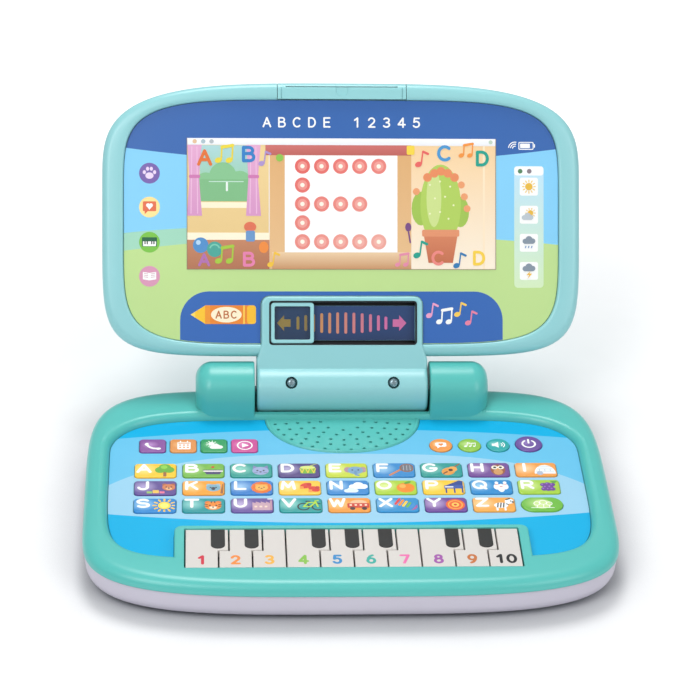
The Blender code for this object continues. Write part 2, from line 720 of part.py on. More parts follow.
def lid_block(name):
    """The lid's whole outer form as one solid."""
    front = [lid_ring(LID, -inset, LID_RIM - drop) for inset, drop in rounded_edge(LID_FRONT_ROUND, 3)]
    back = [lid_ring(LID, -inset, LID_BACK + drop) for inset, drop in rounded_edge(LID_BACK_ROUND, 3)]
    return loft(name, front[::-1] + back, cap_first=True, cap_last=True, cutter=True)


def handle_slot(grow):
    """Opposite corners of the place that the handle fills in the lid's top rim."""
    reach = HANDLE_HALF - GAP / 2 + grow
    return (-reach, HANDLE_LOW + GAP / 2 - grow, -AWAY), (reach, HANDLE_LOW + AWAY, AWAY)


def neck_outline():
    """The plate that rises from the barrel and frames the slider window."""
    right = [(BARREL_HALF, 0.0), (BARREL_HALF, NECK_FLARE_LOW), (BEZEL_HALF, NECK_FLARE_HIGH)]
    for k in range(4):
        turn = math.pi / 6 * k
        across = BEZEL_HALF - NECK_CORNER * (1 - math.cos(turn))
        right.append((across, NECK_TOP - NECK_CORNER * (1 - math.sin(turn))))
    return right + [(-x, y) for x, y in reversed(right)]


def barrel_hollows():
    """Three hollows inside the barrel, with solid material left round the two screws."""
    bm = bmesh.new()
    size = {"segments": 16, "radius1": BARREL_HOLLOW_RADIUS, "radius2": BARREL_HOLLOW_RADIUS}
    for low, high in BARREL_HOLLOWS:
        place = Matrix.Translation(((low + high) / 2, 0, 0)) @ AXIS_TURN["X"]
        bmesh.ops.create_cone(bm, cap_ends=True, depth=high - low, matrix=place, **size)
    return mesh_object("barrel_hollows", bm, cutter=True)


def half_barrel(name, low_z, high_z):
    """The barrel between two depths, cut from a full cylinder."""
    barrel = cylinder(name, BARREL_RADIUS, (0, 0, 0), 2 * BARREL_HALF, "X", 32, cutter=True)
    bm = bmesh.new()
    bm.from_mesh(barrel.data)
    for z, up in ((low_z, 1), (high_z, -1)):
        cut = bmesh.ops.bisect_plane(
            bm,
            geom=[*bm.verts, *bm.edges, *bm.faces],
            plane_co=(0, 0, z),
            plane_no=(0, 0, up),
            clear_inner=True,
        )
        edges = [item for item in cut["geom_cut"] if isinstance(item, bmesh.types.BMEdge)]
        if edges:
            bmesh.ops.contextual_create(bm, geom=edges)
    bmesh.ops.recalc_face_normals(bm, faces=bm.faces)
    bm.to_mesh(barrel.data)
    bm.free()
    return barrel


def screw_holes(radius, low_z, high_z, label):
    return [
        upright(f"{label}_{side}", radius, side * SCREW_X, SCREW_UP, low_z, high_z, 12) for side in (-1, 1)
    ]


def lid_bore(name):
    return cylinder(name, BORE_RADIUS, (0, 0, 0), 2 * BARREL_HALF + 2 * WALL, "X", 12, cutter=True)


def window_cutter(name, low_y, high_y, floor_z):
    return box(name, (WINDOW_LEFT, low_y, floor_z), (WINDOW_RIGHT, high_y, AWAY), cutter=True)


def build_lid_front_casing(lid):
    rings = [lid_ring(LID, 0, GAP / 2)]
    for inset, drop in rounded_edge(LID_FRONT_ROUND, 3):
        rings.append(lid_ring(LID, -inset, LID_RIM - drop))
    rings.append(lid_ring(PANEL, GAP + PANEL_SLOPE[0], LID_RIM))
    rings.append(lid_ring(PANEL, GAP, LID_RIM - PANEL_SLOPE[1]))
    rings.append(lid_ring(PANEL, GAP, LEDGE))
    rings.append(lid_ring(PANEL, -LEDGE_WIDTH, LEDGE))
    casing = loft("lid_front_casing", rings)
    flip_if_inward(casing, z_up=True)
    solidify(casing)

    slot = box("handle_slot_front", *handle_slot(GAP), cutter=True)
    boolean(casing, "DIFFERENCE", slot)
    neck = plate("neck_plate", neck_outline(), GAP / 2, NECK_FACE, cutter=True)
    boolean(casing, "UNION", neck, half_barrel("barrel_front", GAP / 2, AWAY))
    boolean(casing, "DIFFERENCE", barrel_hollows(), lid_bore("lid_bore_front"))
    pocket = window_cutter("window_pocket", WINDOW_LOW, WINDOW_HIGH, POCKET_FLOOR)
    low_slot = window_cutter("low_slot", WINDOW_LOW, WINDOW_LOW + SLOT_HEIGHT, -AWAY)
    high_slot = window_cutter("high_slot", WINDOW_HIGH - SLOT_HEIGHT, WINDOW_HIGH, -AWAY)
    boolean(casing, "DIFFERENCE", pocket, low_slot, high_slot)
    boolean(casing, "DIFFERENCE", *screw_holes(RECESS_RADIUS, SCREW_HEAD_Z - GAP, AWAY, "recess"))
    boolean(casing, "DIFFERENCE", *screw_holes(SCREW_RADIUS + GAP, -AWAY, AWAY, "hole_front"))
    finish(casing, LID_TEAL, 35)
    on_lid(casing, lid)


def build_lid_rear_casing(lid):
    rings = [lid_ring(LID, 0, -GAP / 2)]
    for inset, drop in rounded_edge(LID_BACK_ROUND, 3):
        rings.append(lid_ring(LID, -inset, LID_BACK + drop))
    casing = loft("lid_rear_casing", rings, cap_last=True)
    flip_if_inward(casing, z_up=False)
    solidify(casing)

    slot = box("handle_slot_rear", *handle_slot(GAP), cutter=True)
    boolean(casing, "DIFFERENCE", slot)
    low, high = (-BARREL_HALF, 0, -BARREL_RADIUS), (BARREL_HALF, NECK_ROOT_HIGH, -GAP / 2)
    root = box("neck_root", low, high, cutter=True)
    boolean(casing, "UNION", root, half_barrel("barrel_rear", -AWAY, -GAP / 2))
    boolean(casing, "DIFFERENCE", barrel_hollows(), lid_bore("lid_bore_rear"))
    boolean(casing, "DIFFERENCE", *screw_holes(SCREW_RADIUS + GAP, SCREW_TIP_Z - GAP, AWAY, "hole_rear"))
    finish(casing, LID_TEAL, 35)
    on_lid(casing, lid)


def build_lid_panel(lid):
    outline = PANEL.points(LID_WAYS, LID_MIDDLE)
    panel = plate("lid_panel", outline, PANEL_FACE - PANEL_THICK, PANEL_FACE)
    reach = BEZEL_HALF + GAP
    notch = box("panel_notch", (-reach, 0, -AWAY), (reach, NECK_TOP + GAP, AWAY), cutter=True)
    boolean(panel, "DIFFERENCE", notch)
    finish(panel, PANEL_PRINT)
    on_lid(panel, lid)


def build_led_board(lid):
    board = box("led_board", LED_BOARD_LOW, LED_BOARD_HIGH)
    finish(board, BOARD_GREEN)
    on_lid(board, lid)


def build_mode_slider(lid):
    left = WINDOW_LEFT + SLIDER_GAP
    low, high = WINDOW_LOW + SLIDER_GAP, WINDOW_HIGH - SLIDER_GAP
    middle = (left + SLIDER_WIDTH / 2, (low + high) / 2)
    size = (SLIDER_WIDTH, high - low)
    outer = rounded_rectangle(*middle, *size, SLIDER_CORNER)
    inner = rounded_rectangle(*middle, *(side - 2 * SLIDER_RAIL for side in size), SLIDER_CORNER / 2)
    slider = plate("mode_slider", outer, SLIDER_BACK, SLIDER_FRONT)
    boolean(slider, "DIFFERENCE", plate("slider_window", inner, -AWAY, AWAY, cutter=True))
    left, right = left + RUNNER_INSET, left + SLIDER_WIDTH - RUNNER_INSET
    for label, y in (("low", low + PROUD), ("high", high - PROUD - RUNNER_HEIGHT)):
        corners = (left, y, RUNNER_BACK), (right, y + RUNNER_HEIGHT, RUNNER_FRONT)
        boolean(slider, "UNION", box(f"runner_{label}", *corners, cutter=True))
    finish(slider, LID_TEAL)
    on_lid(slider, lid)


def build_carry_handle(lid):
    grip = box("carry_handle", *handle_slot(0))
    boolean(grip, "INTERSECT", lid_block("lid_form"))
    for side in (-1, 1):
        low = (side * HANDLE_LEG_X - HANDLE_LEG_HALF, HANDLE_LEG_LOW, HANDLE_LEG_BACK)
        high = (side * HANDLE_LEG_X + HANDLE_LEG_HALF, HANDLE_LOW + HANDLE_LEG_ROOT, HANDLE_LEG_FRONT)
        boolean(grip, "UNION", box(f"handle_leg_{side}", low, high, cutter=True))
    finish(grip, LID_TEAL, 35)
    on_lid(grip, lid)


def build_hinge_axle():
    axle = cylinder("hinge_axle", AXLE_RADIUS, (0, 0, 0), 2 * AXLE_HALF, "X", 12)
    axle.location = (0, HINGE_Y, HINGE_Z)
    finish(axle, STEEL, 40)


def build_hinge_screws(lid):
    for label, side in (("left", -1), ("right", 1)):
        x, top = side * SCREW_X, SCREW_HEAD_Z + SCREW_HEAD_HEIGHT
        length = SCREW_HEAD_Z + SCREW_HEAD_HEIGHT / 4 - SCREW_TIP_Z
        middle = (x, SCREW_UP, SCREW_TIP_Z + length / 2)
        screw = cylinder(f"hinge_screw_{label}", SCREW_RADIUS, middle, length, "Z", 12)
        head = upright(f"screw_head_{label}", SCREW_HEAD_RADIUS, x, SCREW_UP, SCREW_HEAD_Z, top, 16)
        boolean(screw, "UNION", head)
        for name, reach_x, reach_y in (("wide", CROSS_LONG, CROSS_WIDE), ("tall", CROSS_WIDE, CROSS_LONG)):
            low = (x - reach_x, SCREW_UP - reach_y, top - SCREW_HEAD_HEIGHT / 2)
            high = (x + reach_x, SCREW_UP + reach_y, top + SCREW_HEAD_HEIGHT)
            boolean(screw, "DIFFERENCE", box(f"cross_{name}_{label}", low, high, cutter=True))
        finish(screw, STEEL, 40)
        on_lid(screw, lid)


def build_all():
    build_base_top_casing()
    build_base_bottom_casing()
    build_battery_door()
    build_main_circuit_board()
    build_speaker()
    build_buttons()
    build_keypad_overlay()
    build_piano_keys()
    build_hinge_axle()

    lid = bpy.data.objects.new("lid_hinge_axis", None)
    lid.location = (0, HINGE_Y, HINGE_Z)
    lid.rotation_euler = (math.pi / 2 - LID_LEAN, 0, 0)
    PARTS.objects.link(lid)
    build_lid_front_casing(lid)
    build_lid_rear_casing(lid)
    build_lid_panel(lid)
    build_led_board(lid)
    build_mode_slider(lid)
    build_carry_handle(lid)
    build_hinge_screws(lid)


build_all()
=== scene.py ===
"""Looks of the toy laptop computer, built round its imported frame.

Metres, in the frame's own axes; the artwork on the printed faces is laid out in millimetres. The pieces of
the lid are drawn lying flat, with local X across, local Y up the lid from the hinge axis and local Z out of
the screen, and LID_PLACE stands them up.
"""

import json
import math

import bmesh
import bpy
from mathutils import Matrix, Vector


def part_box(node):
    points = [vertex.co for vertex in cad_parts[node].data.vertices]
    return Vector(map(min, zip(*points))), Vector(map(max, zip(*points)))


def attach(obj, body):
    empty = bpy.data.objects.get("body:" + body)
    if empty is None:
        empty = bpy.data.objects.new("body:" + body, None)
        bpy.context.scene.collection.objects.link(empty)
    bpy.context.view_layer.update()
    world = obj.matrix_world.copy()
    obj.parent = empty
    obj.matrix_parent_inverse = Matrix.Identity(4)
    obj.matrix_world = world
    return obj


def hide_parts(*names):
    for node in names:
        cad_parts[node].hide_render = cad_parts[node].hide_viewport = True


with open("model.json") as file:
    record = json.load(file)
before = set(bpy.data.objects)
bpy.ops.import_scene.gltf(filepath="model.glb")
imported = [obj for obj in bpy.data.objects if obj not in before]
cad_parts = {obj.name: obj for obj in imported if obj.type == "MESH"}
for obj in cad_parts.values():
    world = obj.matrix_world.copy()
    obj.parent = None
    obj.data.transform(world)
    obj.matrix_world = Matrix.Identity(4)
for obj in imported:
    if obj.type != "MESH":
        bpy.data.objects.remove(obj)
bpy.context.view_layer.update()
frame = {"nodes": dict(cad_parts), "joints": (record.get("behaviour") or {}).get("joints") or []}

# ---------------------------------------------------------------- places taken from the frame
JOINTS = {joint["name"]: joint for joint in frame["joints"]}
HINGE = Vector(JOINTS["lid_hinge"]["pos_m"])
UP_THE_LID = Vector(JOINTS["carry_handle_slide"]["axis"])
LID_LEAN = math.atan2(UP_THE_LID.y, UP_THE_LID.z)
LID_PLACE = Matrix.Translation(HINGE) @ Matrix.Rotation(math.pi / 2 - LID_LEAN, 4, "X")
BELLY_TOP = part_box("base_bottom_casing")[1].z
FILM_LOW, FILM_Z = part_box("keypad_overlay")[0].z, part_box("keypad_overlay")[1].z
KEY_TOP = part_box("piano_key_01")[1].z
PAD_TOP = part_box("button_a")[1].z
DOOR_LOW, DOOR_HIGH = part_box("battery_door")

# ---------------------------------------------------------------- driving dimensions
MM = 0.001
GAP = 0.0003
WALL = 0.0020
RING_POINTS = 168
FINE = 8  # steps round a quarter turn of an edge

SPLIT_Z = BELLY_TOP + GAP
RIM_Z = 0.0250
DECK_Z = FILM_LOW - GAP
RIM_ACROSS, RIM_DOWN = 0.0070, 0.0056  # rounding of the base's outer edge
RIM_INNER, RIM_FALL = 0.0048, 0.0050  # the slope from the rim down to the film
RIM_CROWN = 0.0001
BOSS_Z = 0.0208
RIDGE_INSET, RIDGE_INNER, RIDGE_RISE, RIDGE_EDGE = 0.0006, 0.0020, 0.0004, 0.0003
RIDGE_FLOOR = BOSS_Z - 0.00005
FLOOR_Z = 0.0010
BELLY_INSET = 0.0010
BELLY_ROUND = 0.0090

TOWER_INNER, TOWER_OUTER = 0.0515, 0.0860
TOWER_RADIUS = 0.0160
TOWER_BACK, TOWER_BACK_DROP = 0.0520, 0.0060
TOWER_ROUND = 0.0095
TOWER_SINK = 0.0040
BARREL_HALF, BARREL_RADIUS, BARREL_EDGE = 0.0502, 0.0138, 0.0022
TROUGH_RADIUS = 0.0148
SADDLE_HALF = 0.0520
SADDLE_FRONT, SADDLE_REAR, SADDLE_LOW = 0.0250, 0.0500, 0.0135
RELIEF_FRONT, RELIEF_Z = 0.0200, 0.0235
SADDLE_TOP = RELIEF_Z - 0.0001
ROOT = 0.0010  # how deep a raised part reaches into what it stands on
SOFT_EDGE = 0.0004

LID_RIM, LID_BACK = 0.0065, -0.0155
LID_ACROSS, LID_DOWN = 0.0044, 0.0044  # rounding of the lid's front edge
LID_BACK_ROUND = 0.0070
PANEL_FACE, PANEL_THICK = 0.0042, 0.0017
LEDGE, LEDGE_WIDTH = 0.0022, 0.0040
PANEL_EDGE = 0.0016
NECK_FACE, NECK_TOP, NECK_CORNER = 0.0075, 0.0542, 0.0050
NECK_FLARE_LOW, NECK_FLARE_HIGH, NECK_ROOT_HIGH = 0.0170, 0.0260, 0.0240
NECK_EDGE = 0.0015
BEZEL_HALF = 0.0475
WINDOW = (-0.0421, 0.0263, 0.0434, 0.0507)  # left, low, right, high
TRACK_Z = 0.0020
# The window's dark liner and the dark bed behind its slots are painted shade inside the lid.
SHADE_LINER = 0.0008
SLOT_HEIGHT = 0.0020
WINDOW_CORNER, WINDOW_PLAY = 0.0012, 0.0002
SLIDER_WIDTH, SLIDER_CORNER, SLIDER_EDGE = 0.0254, 0.0018, 0.0007
SLIDER_RAIL, SLIDER_INNER_CORNER = 0.0022, 0.0009
SLIDER_BACK, SLIDER_FRONT = 0.0036, 0.0070
RUNNER_INSET, RUNNER_LOW, RUNNER_HIGH, RUNNER_WIDTH = 0.0020, -0.0012, 0.0045, 0.0013
LENS_LAP, LENS_LOW, LENS_HIGH = 0.0003, SLIDER_BACK + 0.0004, SLIDER_BACK + 0.0012
SHADE_BED_LOW, SHADE_BED_HIGH, SHADE_BED_LAP = -0.0034, -0.0024, 0.0010
TRACK_INSET_X, TRACK_INSET_Y, TRACK_CORNER, TRACK_THICK = 0.0003, 0.0001, 0.0004, 0.0002
SHADE_LINER_LOW, SHADE_LINER_HIGH = TRACK_Z + 0.0001, NECK_FACE - 0.0005
RUNNER_EDGE = 0.0001
HANDLE_HALF, HANDLE_LOW = 0.0380, 0.1700
SEAM_INSET, SEAM_HALF, SEAM_HIGH, GROOVE = 0.0024, 0.0002, 0.1900, 0.0005
SLIT_HALF, SLIT_LOW, SLIT_HIGH, SLIT_BACK, SLIT_FRONT = 0.0330, 0.1772, 0.1776, 0.0020, 0.0100
THUMB_UP, THUMB_RADIUS = 0.1756, 0.0036
LEG_X, LEG_UP, LEG_WIDTH, LEG_LENGTH, LEG_CORNER = 0.0300, 0.1510, 0.0080, 0.0420, 0.0010
LEG_BACK, LEG_FRONT = -0.0125, -0.0085
SCREW_X, SCREW_UP = 0.0300, 0.0034
SCREW_HEAD_Z, SCREW_HEAD_HEIGHT, SCREW_HEAD_RADIUS = 0.0098, 0.0020, 0.0026
RECESS_RADIUS, RECESS_FLOOR = 0.0035, 0.0040

KEY_COUNT, KEY_PITCH, KEY_GAP = 10, 0.0184, 0.0004
KEY_REAR, KEY_FRONT, KEY_STEP, KEY_STEP_GAP, KEY_SHIFT = -0.0920, -0.1272, 0.0195, 0.00025, 0.0057
KEY_THICK = 0.0045
BED_LOW, BED_HIGH, BED_CORNER = 0.0158, 0.0166, 0.0010
DOME_FORWARD, DOME_RADIUS, DOME_RISE = 0.0120, 0.0030, 0.0003
BED_EDGE = 0.0002
STRAIGHT_AFTER = (0, 3, 7, 10)
BLACK_WIDTH, BLACK_LENGTH, BLACK_RISE, BLACK_OFF = 0.0077, 0.0175, 0.0004, 0.00175
BLACK_SINK, BLACK_BOW = 0.0006, 0.0032
OPENING_REAR, OPENING_FRONT, OPENING_CORNER = -0.0915, -0.1281, 0.0008
OPENING_MIDDLE = (OPENING_REAR + OPENING_FRONT) / 2
OPENING_LOW, OPENING_HIGH = 0.0100, 0.0300
FRAME_HALF, FRAME_REAR, FRAME_FRONT, FRAME_CORNER = 0.0978, -0.0882, -0.1330, 0.0045
FRAME_MIDDLE = (FRAME_REAR + FRAME_FRONT) / 2
FRAME_TOP, FRAME_EDGE = RIM_Z - 0.00015, 0.0009
PAD_THICK = 0.0012
PAD_EDGE = 0.0006

GRILLE_Y, GRILLE_HALF, GRILLE_DEPTH, GRILLE_ROUNDNESS = 0.0270, 0.0455, 0.0380, 0.92
GRILLE_RINGS_Y, GRILLE_OVAL, GRILLE_FAN = 0.0225, 1.30, 0.04
GRILLE_RINGS = ((0.0100, 5), (0.0152, 8), (0.0204, 11), (0.0256, 13), (0.0306, 16))
GRILLE_HOLE, GRILLE_HOLE_DEPTH = 0.00095, 0.0120
FEET = ((0.1180, 0.0120), (0.1180, -0.0920))
FOOT_RADIUS, FOOT_HEIGHT = 0.0065, 0.0020
POSTS = ((0.1050, 0.0330), (0.1120, -0.1120))
POST_RADIUS, POST_MIDDLE, POST_HEIGHT = 0.0045, 0.0085, 0.0150
WELL_RADIUS, WELL_MIDDLE, WELL_HEIGHT = 0.0030, 0.0040, 0.0100
BAY_WALL, BAY_LOW, BAY_HIGH, BAY_HOLE_HIGH = 0.0016, FLOOR_Z + 0.0004, 0.0132, 0.0140
NOTCH_LOW, NOTCH_HIGH = (0.0008, -0.1500, -0.0010), (0.0032, -0.1300, FLOOR_Z + 0.0021)
DOOR_CORNER = 0.0015
TAB_HALF, TAB_FRONT, TAB_REAR, TAB_LOW = 0.0060, 0.0010, 0.0030, 0.0025
RIB_COUNT, RIB_START, RIB_PITCH = 5, 0.0070, 0.0022
RIB_HALF, RIB_WIDTH, RIB_DEPTH = 0.0080, 0.0010, 0.0005
DOOR_WELL_BACK, DOOR_WELL_RADIUS, DOOR_WELL_LENGTH = 0.0060, 0.0026, 0.0024
DOOR_SCREW_RADIUS, DOOR_SCREW_HEIGHT, DOOR_SCREW_Z = 0.0022, 0.0010, FLOOR_Z + 0.0008
CROSS_ARM, CROSS_HALF, CROSS_TOP = 0.0015, 0.0003, FLOOR_Z + 0.0007
LID_WELLS_X, LID_WELLS_UP, LID_WELL_RADIUS, LID_WELL_DEPTH = 0.1000, (0.0420, 0.1480), 0.0038, 0.0013
AWAY = 0.0500


# ---------------------------------------------------------------- outlines
LIMIT_POWER = 9.0  # how tightly an outline turns into the straight edge that limits it


class Outline:
    """A closed rounded outline: two half superellipses that meet where the shape is widest."""

    def __init__(self, half_width, widest, high, low, high_power, low_power, limit=None):
        self.half_width = half_width
        self.widest = widest
        self.high = high
        self.low = low
        self.high_power = high_power
        self.low_power = low_power
        self.limit = limit

    def holds(self, x, y, grow):
        reach, power = (self.high, self.high_power) if y > self.widest else (self.low, self.low_power)
        across = abs(x) / (self.half_width + grow)
        along = abs(y - self.widest) / (abs(reach - self.widest) + grow)
        if self.limit is None or y < self.widest:
            return across**power + along**power < 1
        cut = (y - self.widest) / (self.limit + grow - self.widest)
        return (across**power + along**power) ** (LIMIT_POWER / power) + cut**LIMIT_POWER < 1

    def corner_directions(self, centre_y, count=RING_POINTS):
        """Directions from the centre that crowd where this outline turns, the same left and right."""
        found = []
        for k in range(count):
            turn = 2 * math.pi * (k + 0.5) / count
            reach, power = (self.high, self.high_power) if turn < math.pi else (self.low, self.low_power)
            bend = 0.5 * (1 + 2 / power)
            x = math.copysign(abs(math.cos(turn)) ** bend, math.cos(turn)) * self.half_width
            y = self.widest + abs(math.sin(turn)) ** bend * (reach - self.widest)
            found.append(Vector((x, y - centre_y)).normalized())
        return found

    def points(self, directions, centre_y, grow=0.0):
        """Where each direction from the centre leaves the outline grown by that much."""
        found = []
        for way in directions:
            inside, outside = 0.0, 2 * self.half_width
            for _ in range(30):
                middle = (inside + outside) / 2
                if self.holds(way.x * middle, centre_y + way.y * middle, grow):
                    inside = middle
                else:
                    outside = middle
            found.append((way.x * inside, centre_y + way.y * inside))
        return found


BASE = Outline(0.1484, -0.0797, 0.0530, -0.1457, 6.3, 3.7)
FILM = Outline(0.1354, -0.0105, 0.0418, -0.1160, 2.14, 7.5, limit=HINGE.y - TOWER_RADIUS)
LID = Outline(0.1408, 0.1192, 0.1798, 0.0189, 3.6, 7.3)
PANEL = Outline(0.1280, 0.1048, 0.1695, 0.0262, 5.1, 6.2)
BASE_MIDDLE, LID_MIDDLE = -0.0450, 0.0990
BASE_WAYS = BASE.corner_directions(BASE_MIDDLE)
LID_WAYS = LID.corner_directions(LID_MIDDLE)


def base_ring(outline, grow, z):
    return [(x, y, z) for x, y in outline.points(BASE_WAYS, BASE_MIDDLE, grow)]


def lid_ring(outline, grow, z):
    return [(x, y, z) for x, y in outline.points(LID_WAYS, LID_MIDDLE, grow)]


def between(first, second, share, rise):
    """A ring part of the way between two others, lifted a little."""
    return [
        (a[0] + (b[0] - a[0]) * share, a[1] + (b[1] - a[1]) * share, a[2] + (b[2] - a[2]) * share + rise)
        for a, b in zip(first, second)
    ]


def rounded_edge(across, down=None, steps=FINE):
    """(inset, drop) pairs round a quarter of an ellipse, from the side face to the top face."""
    down = across if down is None else down
    for k in range(steps + 1):
        turn = math.pi / 2 * k / steps
        yield across * (1 - math.cos(turn)), down * (1 - math.sin(turn))


def rounded_rectangle(x, y, width, depth, radius, steps=6):
    found = []
    for corner in range(4):
        middle_x = x + (1, -1, -1, 1)[corner] * (width / 2 - radius)
        middle_y = y + (1, 1, -1, -1)[corner] * (depth / 2 - radius)
        for k in range(steps + 1):
            turn = math.pi / 2 * (corner + k / steps)
            found.append((middle_x + radius * math.cos(turn), middle_y + radius * math.sin(turn)))
    return found


def grown_rectangle(x, y, width, depth, radius):
    """The outline of a rounded rectangle as a function of how far it grows on every side."""
    return lambda grow: rounded_rectangle(x, y, width + 2 * grow, depth + 2 * grow, radius + grow)


def circle(x, y, radius, sides=32):
    turns = [2 * math.pi * k / sides for k in range(sides)]
    return [(x + radius * math.cos(turn), y + radius * math.sin(turn)) for turn in turns]


def grown_circle(x, y, radius, sides):
    """The outline of a circle as a function of how far it grows."""
    return lambda grow: circle(x, y, radius + grow, sides)


# ---------------------------------------------------------------- mesh helpers
def new_object(name, bm):
    mesh = bpy.data.meshes.new(name)
    bm.to_mesh(mesh)
    bm.free()
    obj = bpy.data.objects.new(name, mesh)
    bpy.context.scene.collection.objects.link(obj)
    return obj


def loft(name, rings, closed=False):
    """A solid through rings of equally many points, capped at both ends or closed on itself."""
    bm = bmesh.new()
    loops = [[bm.verts.new(point) for point in ring] for ring in rings]
    pairs = list(zip(loops, loops[1:]))
    if closed:
        pairs.append((loops[-1], loops[0]))
    for first, second in pairs:
        for k in range(len(first)):
            bm.faces.new((first[k - 1], first[k], second[k], second[k - 1]))
    if not closed:
        bm.faces.new(loops[0])
        bm.faces.new(loops[-1])
    bmesh.ops.recalc_face_normals(bm, faces=bm.faces)
    if bm.calc_volume(signed=True) < 0:
        bmesh.ops.reverse_faces(bm, faces=bm.faces)
    return new_object(name, bm)


def rounded_prism(name, outline, low, high, edge=0.0, steps=4, low_edge=0.0):
    """A prism whose top edge is rounded, and its bottom edge too if asked. outline(grow) gives points."""
    rings = []
    if low_edge:
        rings += [(-inset, low + drop) for inset, drop in reversed(list(rounded_edge(low_edge, steps=steps)))]
    else:
        rings.append((0.0, low))
    if edge:
        rings += [(-inset, high - drop) for inset, drop in rounded_edge(edge, steps=steps)]
    else:
        rings.append((0.0, high))
    return loft(name, [[(x, y, z) for x, y in outline(grow)] for grow, z in rings])


def box(name, low, high):
    bm = bmesh.new()
    size = Vector(high) - Vector(low)
    place = Matrix.Translation((Vector(high) + Vector(low)) / 2) @ Matrix.Diagonal((*size, 1))
    bmesh.ops.create_cube(bm, size=1, matrix=place)
    return new_object(name, bm)


def cylinder(name, radius, centre, length, axis="Z", sides=48, edge=0.0):
    bm = bmesh.new()
    turn = Matrix.Rotation(math.pi / 2, 4, "Y") if axis == "X" else Matrix.Identity(4)
    bmesh.ops.create_cone(
        bm, cap_ends=True, segments=sides, radius1=radius, radius2=radius, depth=length,
        matrix=Matrix.Translation(centre) @ turn,
    )
    if edge:
        ends = [e for e in bm.edges if any(len(face.verts) > 4 for face in e.link_faces)]
        bmesh.ops.bevel(bm, geom=ends, offset=edge, segments=4, profile=0.5, affect="EDGES")
    return new_object(name, bm)


def plate(name, outline, low, high, edge=0.0, edges_above=None):
    """A flat plate on a filled outline; its top edges are rounded where they lie above a given Y."""
    bm = bmesh.new()
    face = bm.faces.new([bm.verts.new((x, y, low)) for x, y in outline])
    grown = bmesh.ops.extrude_face_region(bm, geom=[face])["geom"]
    top = [item for item in grown if isinstance(item, bmesh.types.BMVert)]
    bmesh.ops.translate(bm, verts=top, vec=(0, 0, high - low))
    bmesh.ops.recalc_face_normals(bm, faces=bm.faces)
    if edge:
        raised = set(top)
        rim = [e for e in bm.edges if all(vert in raised for vert in e.verts)]
        if edges_above is not None:
            rim = [e for e in rim if max(vert.co.y for vert in e.verts) > edges_above]
        bmesh.ops.bevel(bm, geom=rim, offset=edge, segments=4, profile=0.5, affect="EDGES")
    return new_object(name, bm)


def combine(obj, operation, *others):
    """Applies an EXACT Boolean with each of the other objects, which are used up."""
    for other in others:
        modifier = obj.modifiers.new(other.name, "BOOLEAN")
        modifier.operation = operation
        modifier.solver = "EXACT"
        modifier.object = other
    graph = bpy.context.evaluated_depsgraph_get()
    mesh = bpy.data.meshes.new_from_object(obj.evaluated_get(graph))
    obj.modifiers.clear()
    obj.data = mesh
    for other in others:
        bpy.data.objects.remove(other)


def shade(obj, material, angle=32):
    """Smooth shading with sharp edges kept, and the piece's material."""
    obj.data.materials.clear()
    obj.data.materials.append(material)
    obj.data.shade_smooth()
    obj.data.set_sharp_from_angle(angle=math.radians(angle))
    modifier = obj.modifiers.new("even_normals", "WEIGHTED_NORMAL")
    modifier.keep_sharp = True
    modifier.weight = 100


def place(obj, body, slot, *nodes, where=None):
    """Puts a finished piece on its body, in the place of the nodes it stands for."""
    if where is not None:
        obj.matrix_world = where
    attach(obj, body)
    if nodes:
        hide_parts(*nodes)


def finish(obj, material, body, slot, *nodes, where=None):
    """Shades a piece and puts it on its body."""
    shade(obj, material)
    place(obj, body, slot, *nodes, where=where)


# ---------------------------------------------------------------- materials
def linear(colour):
    """Linear RGB of a colour given as 0 to 255 display values."""
    return tuple(
        c / 255 / 12.92 if c / 255 <= 0.04045 else ((c / 255 + 0.055) / 1.055) ** 2.4 for c in colour
    )


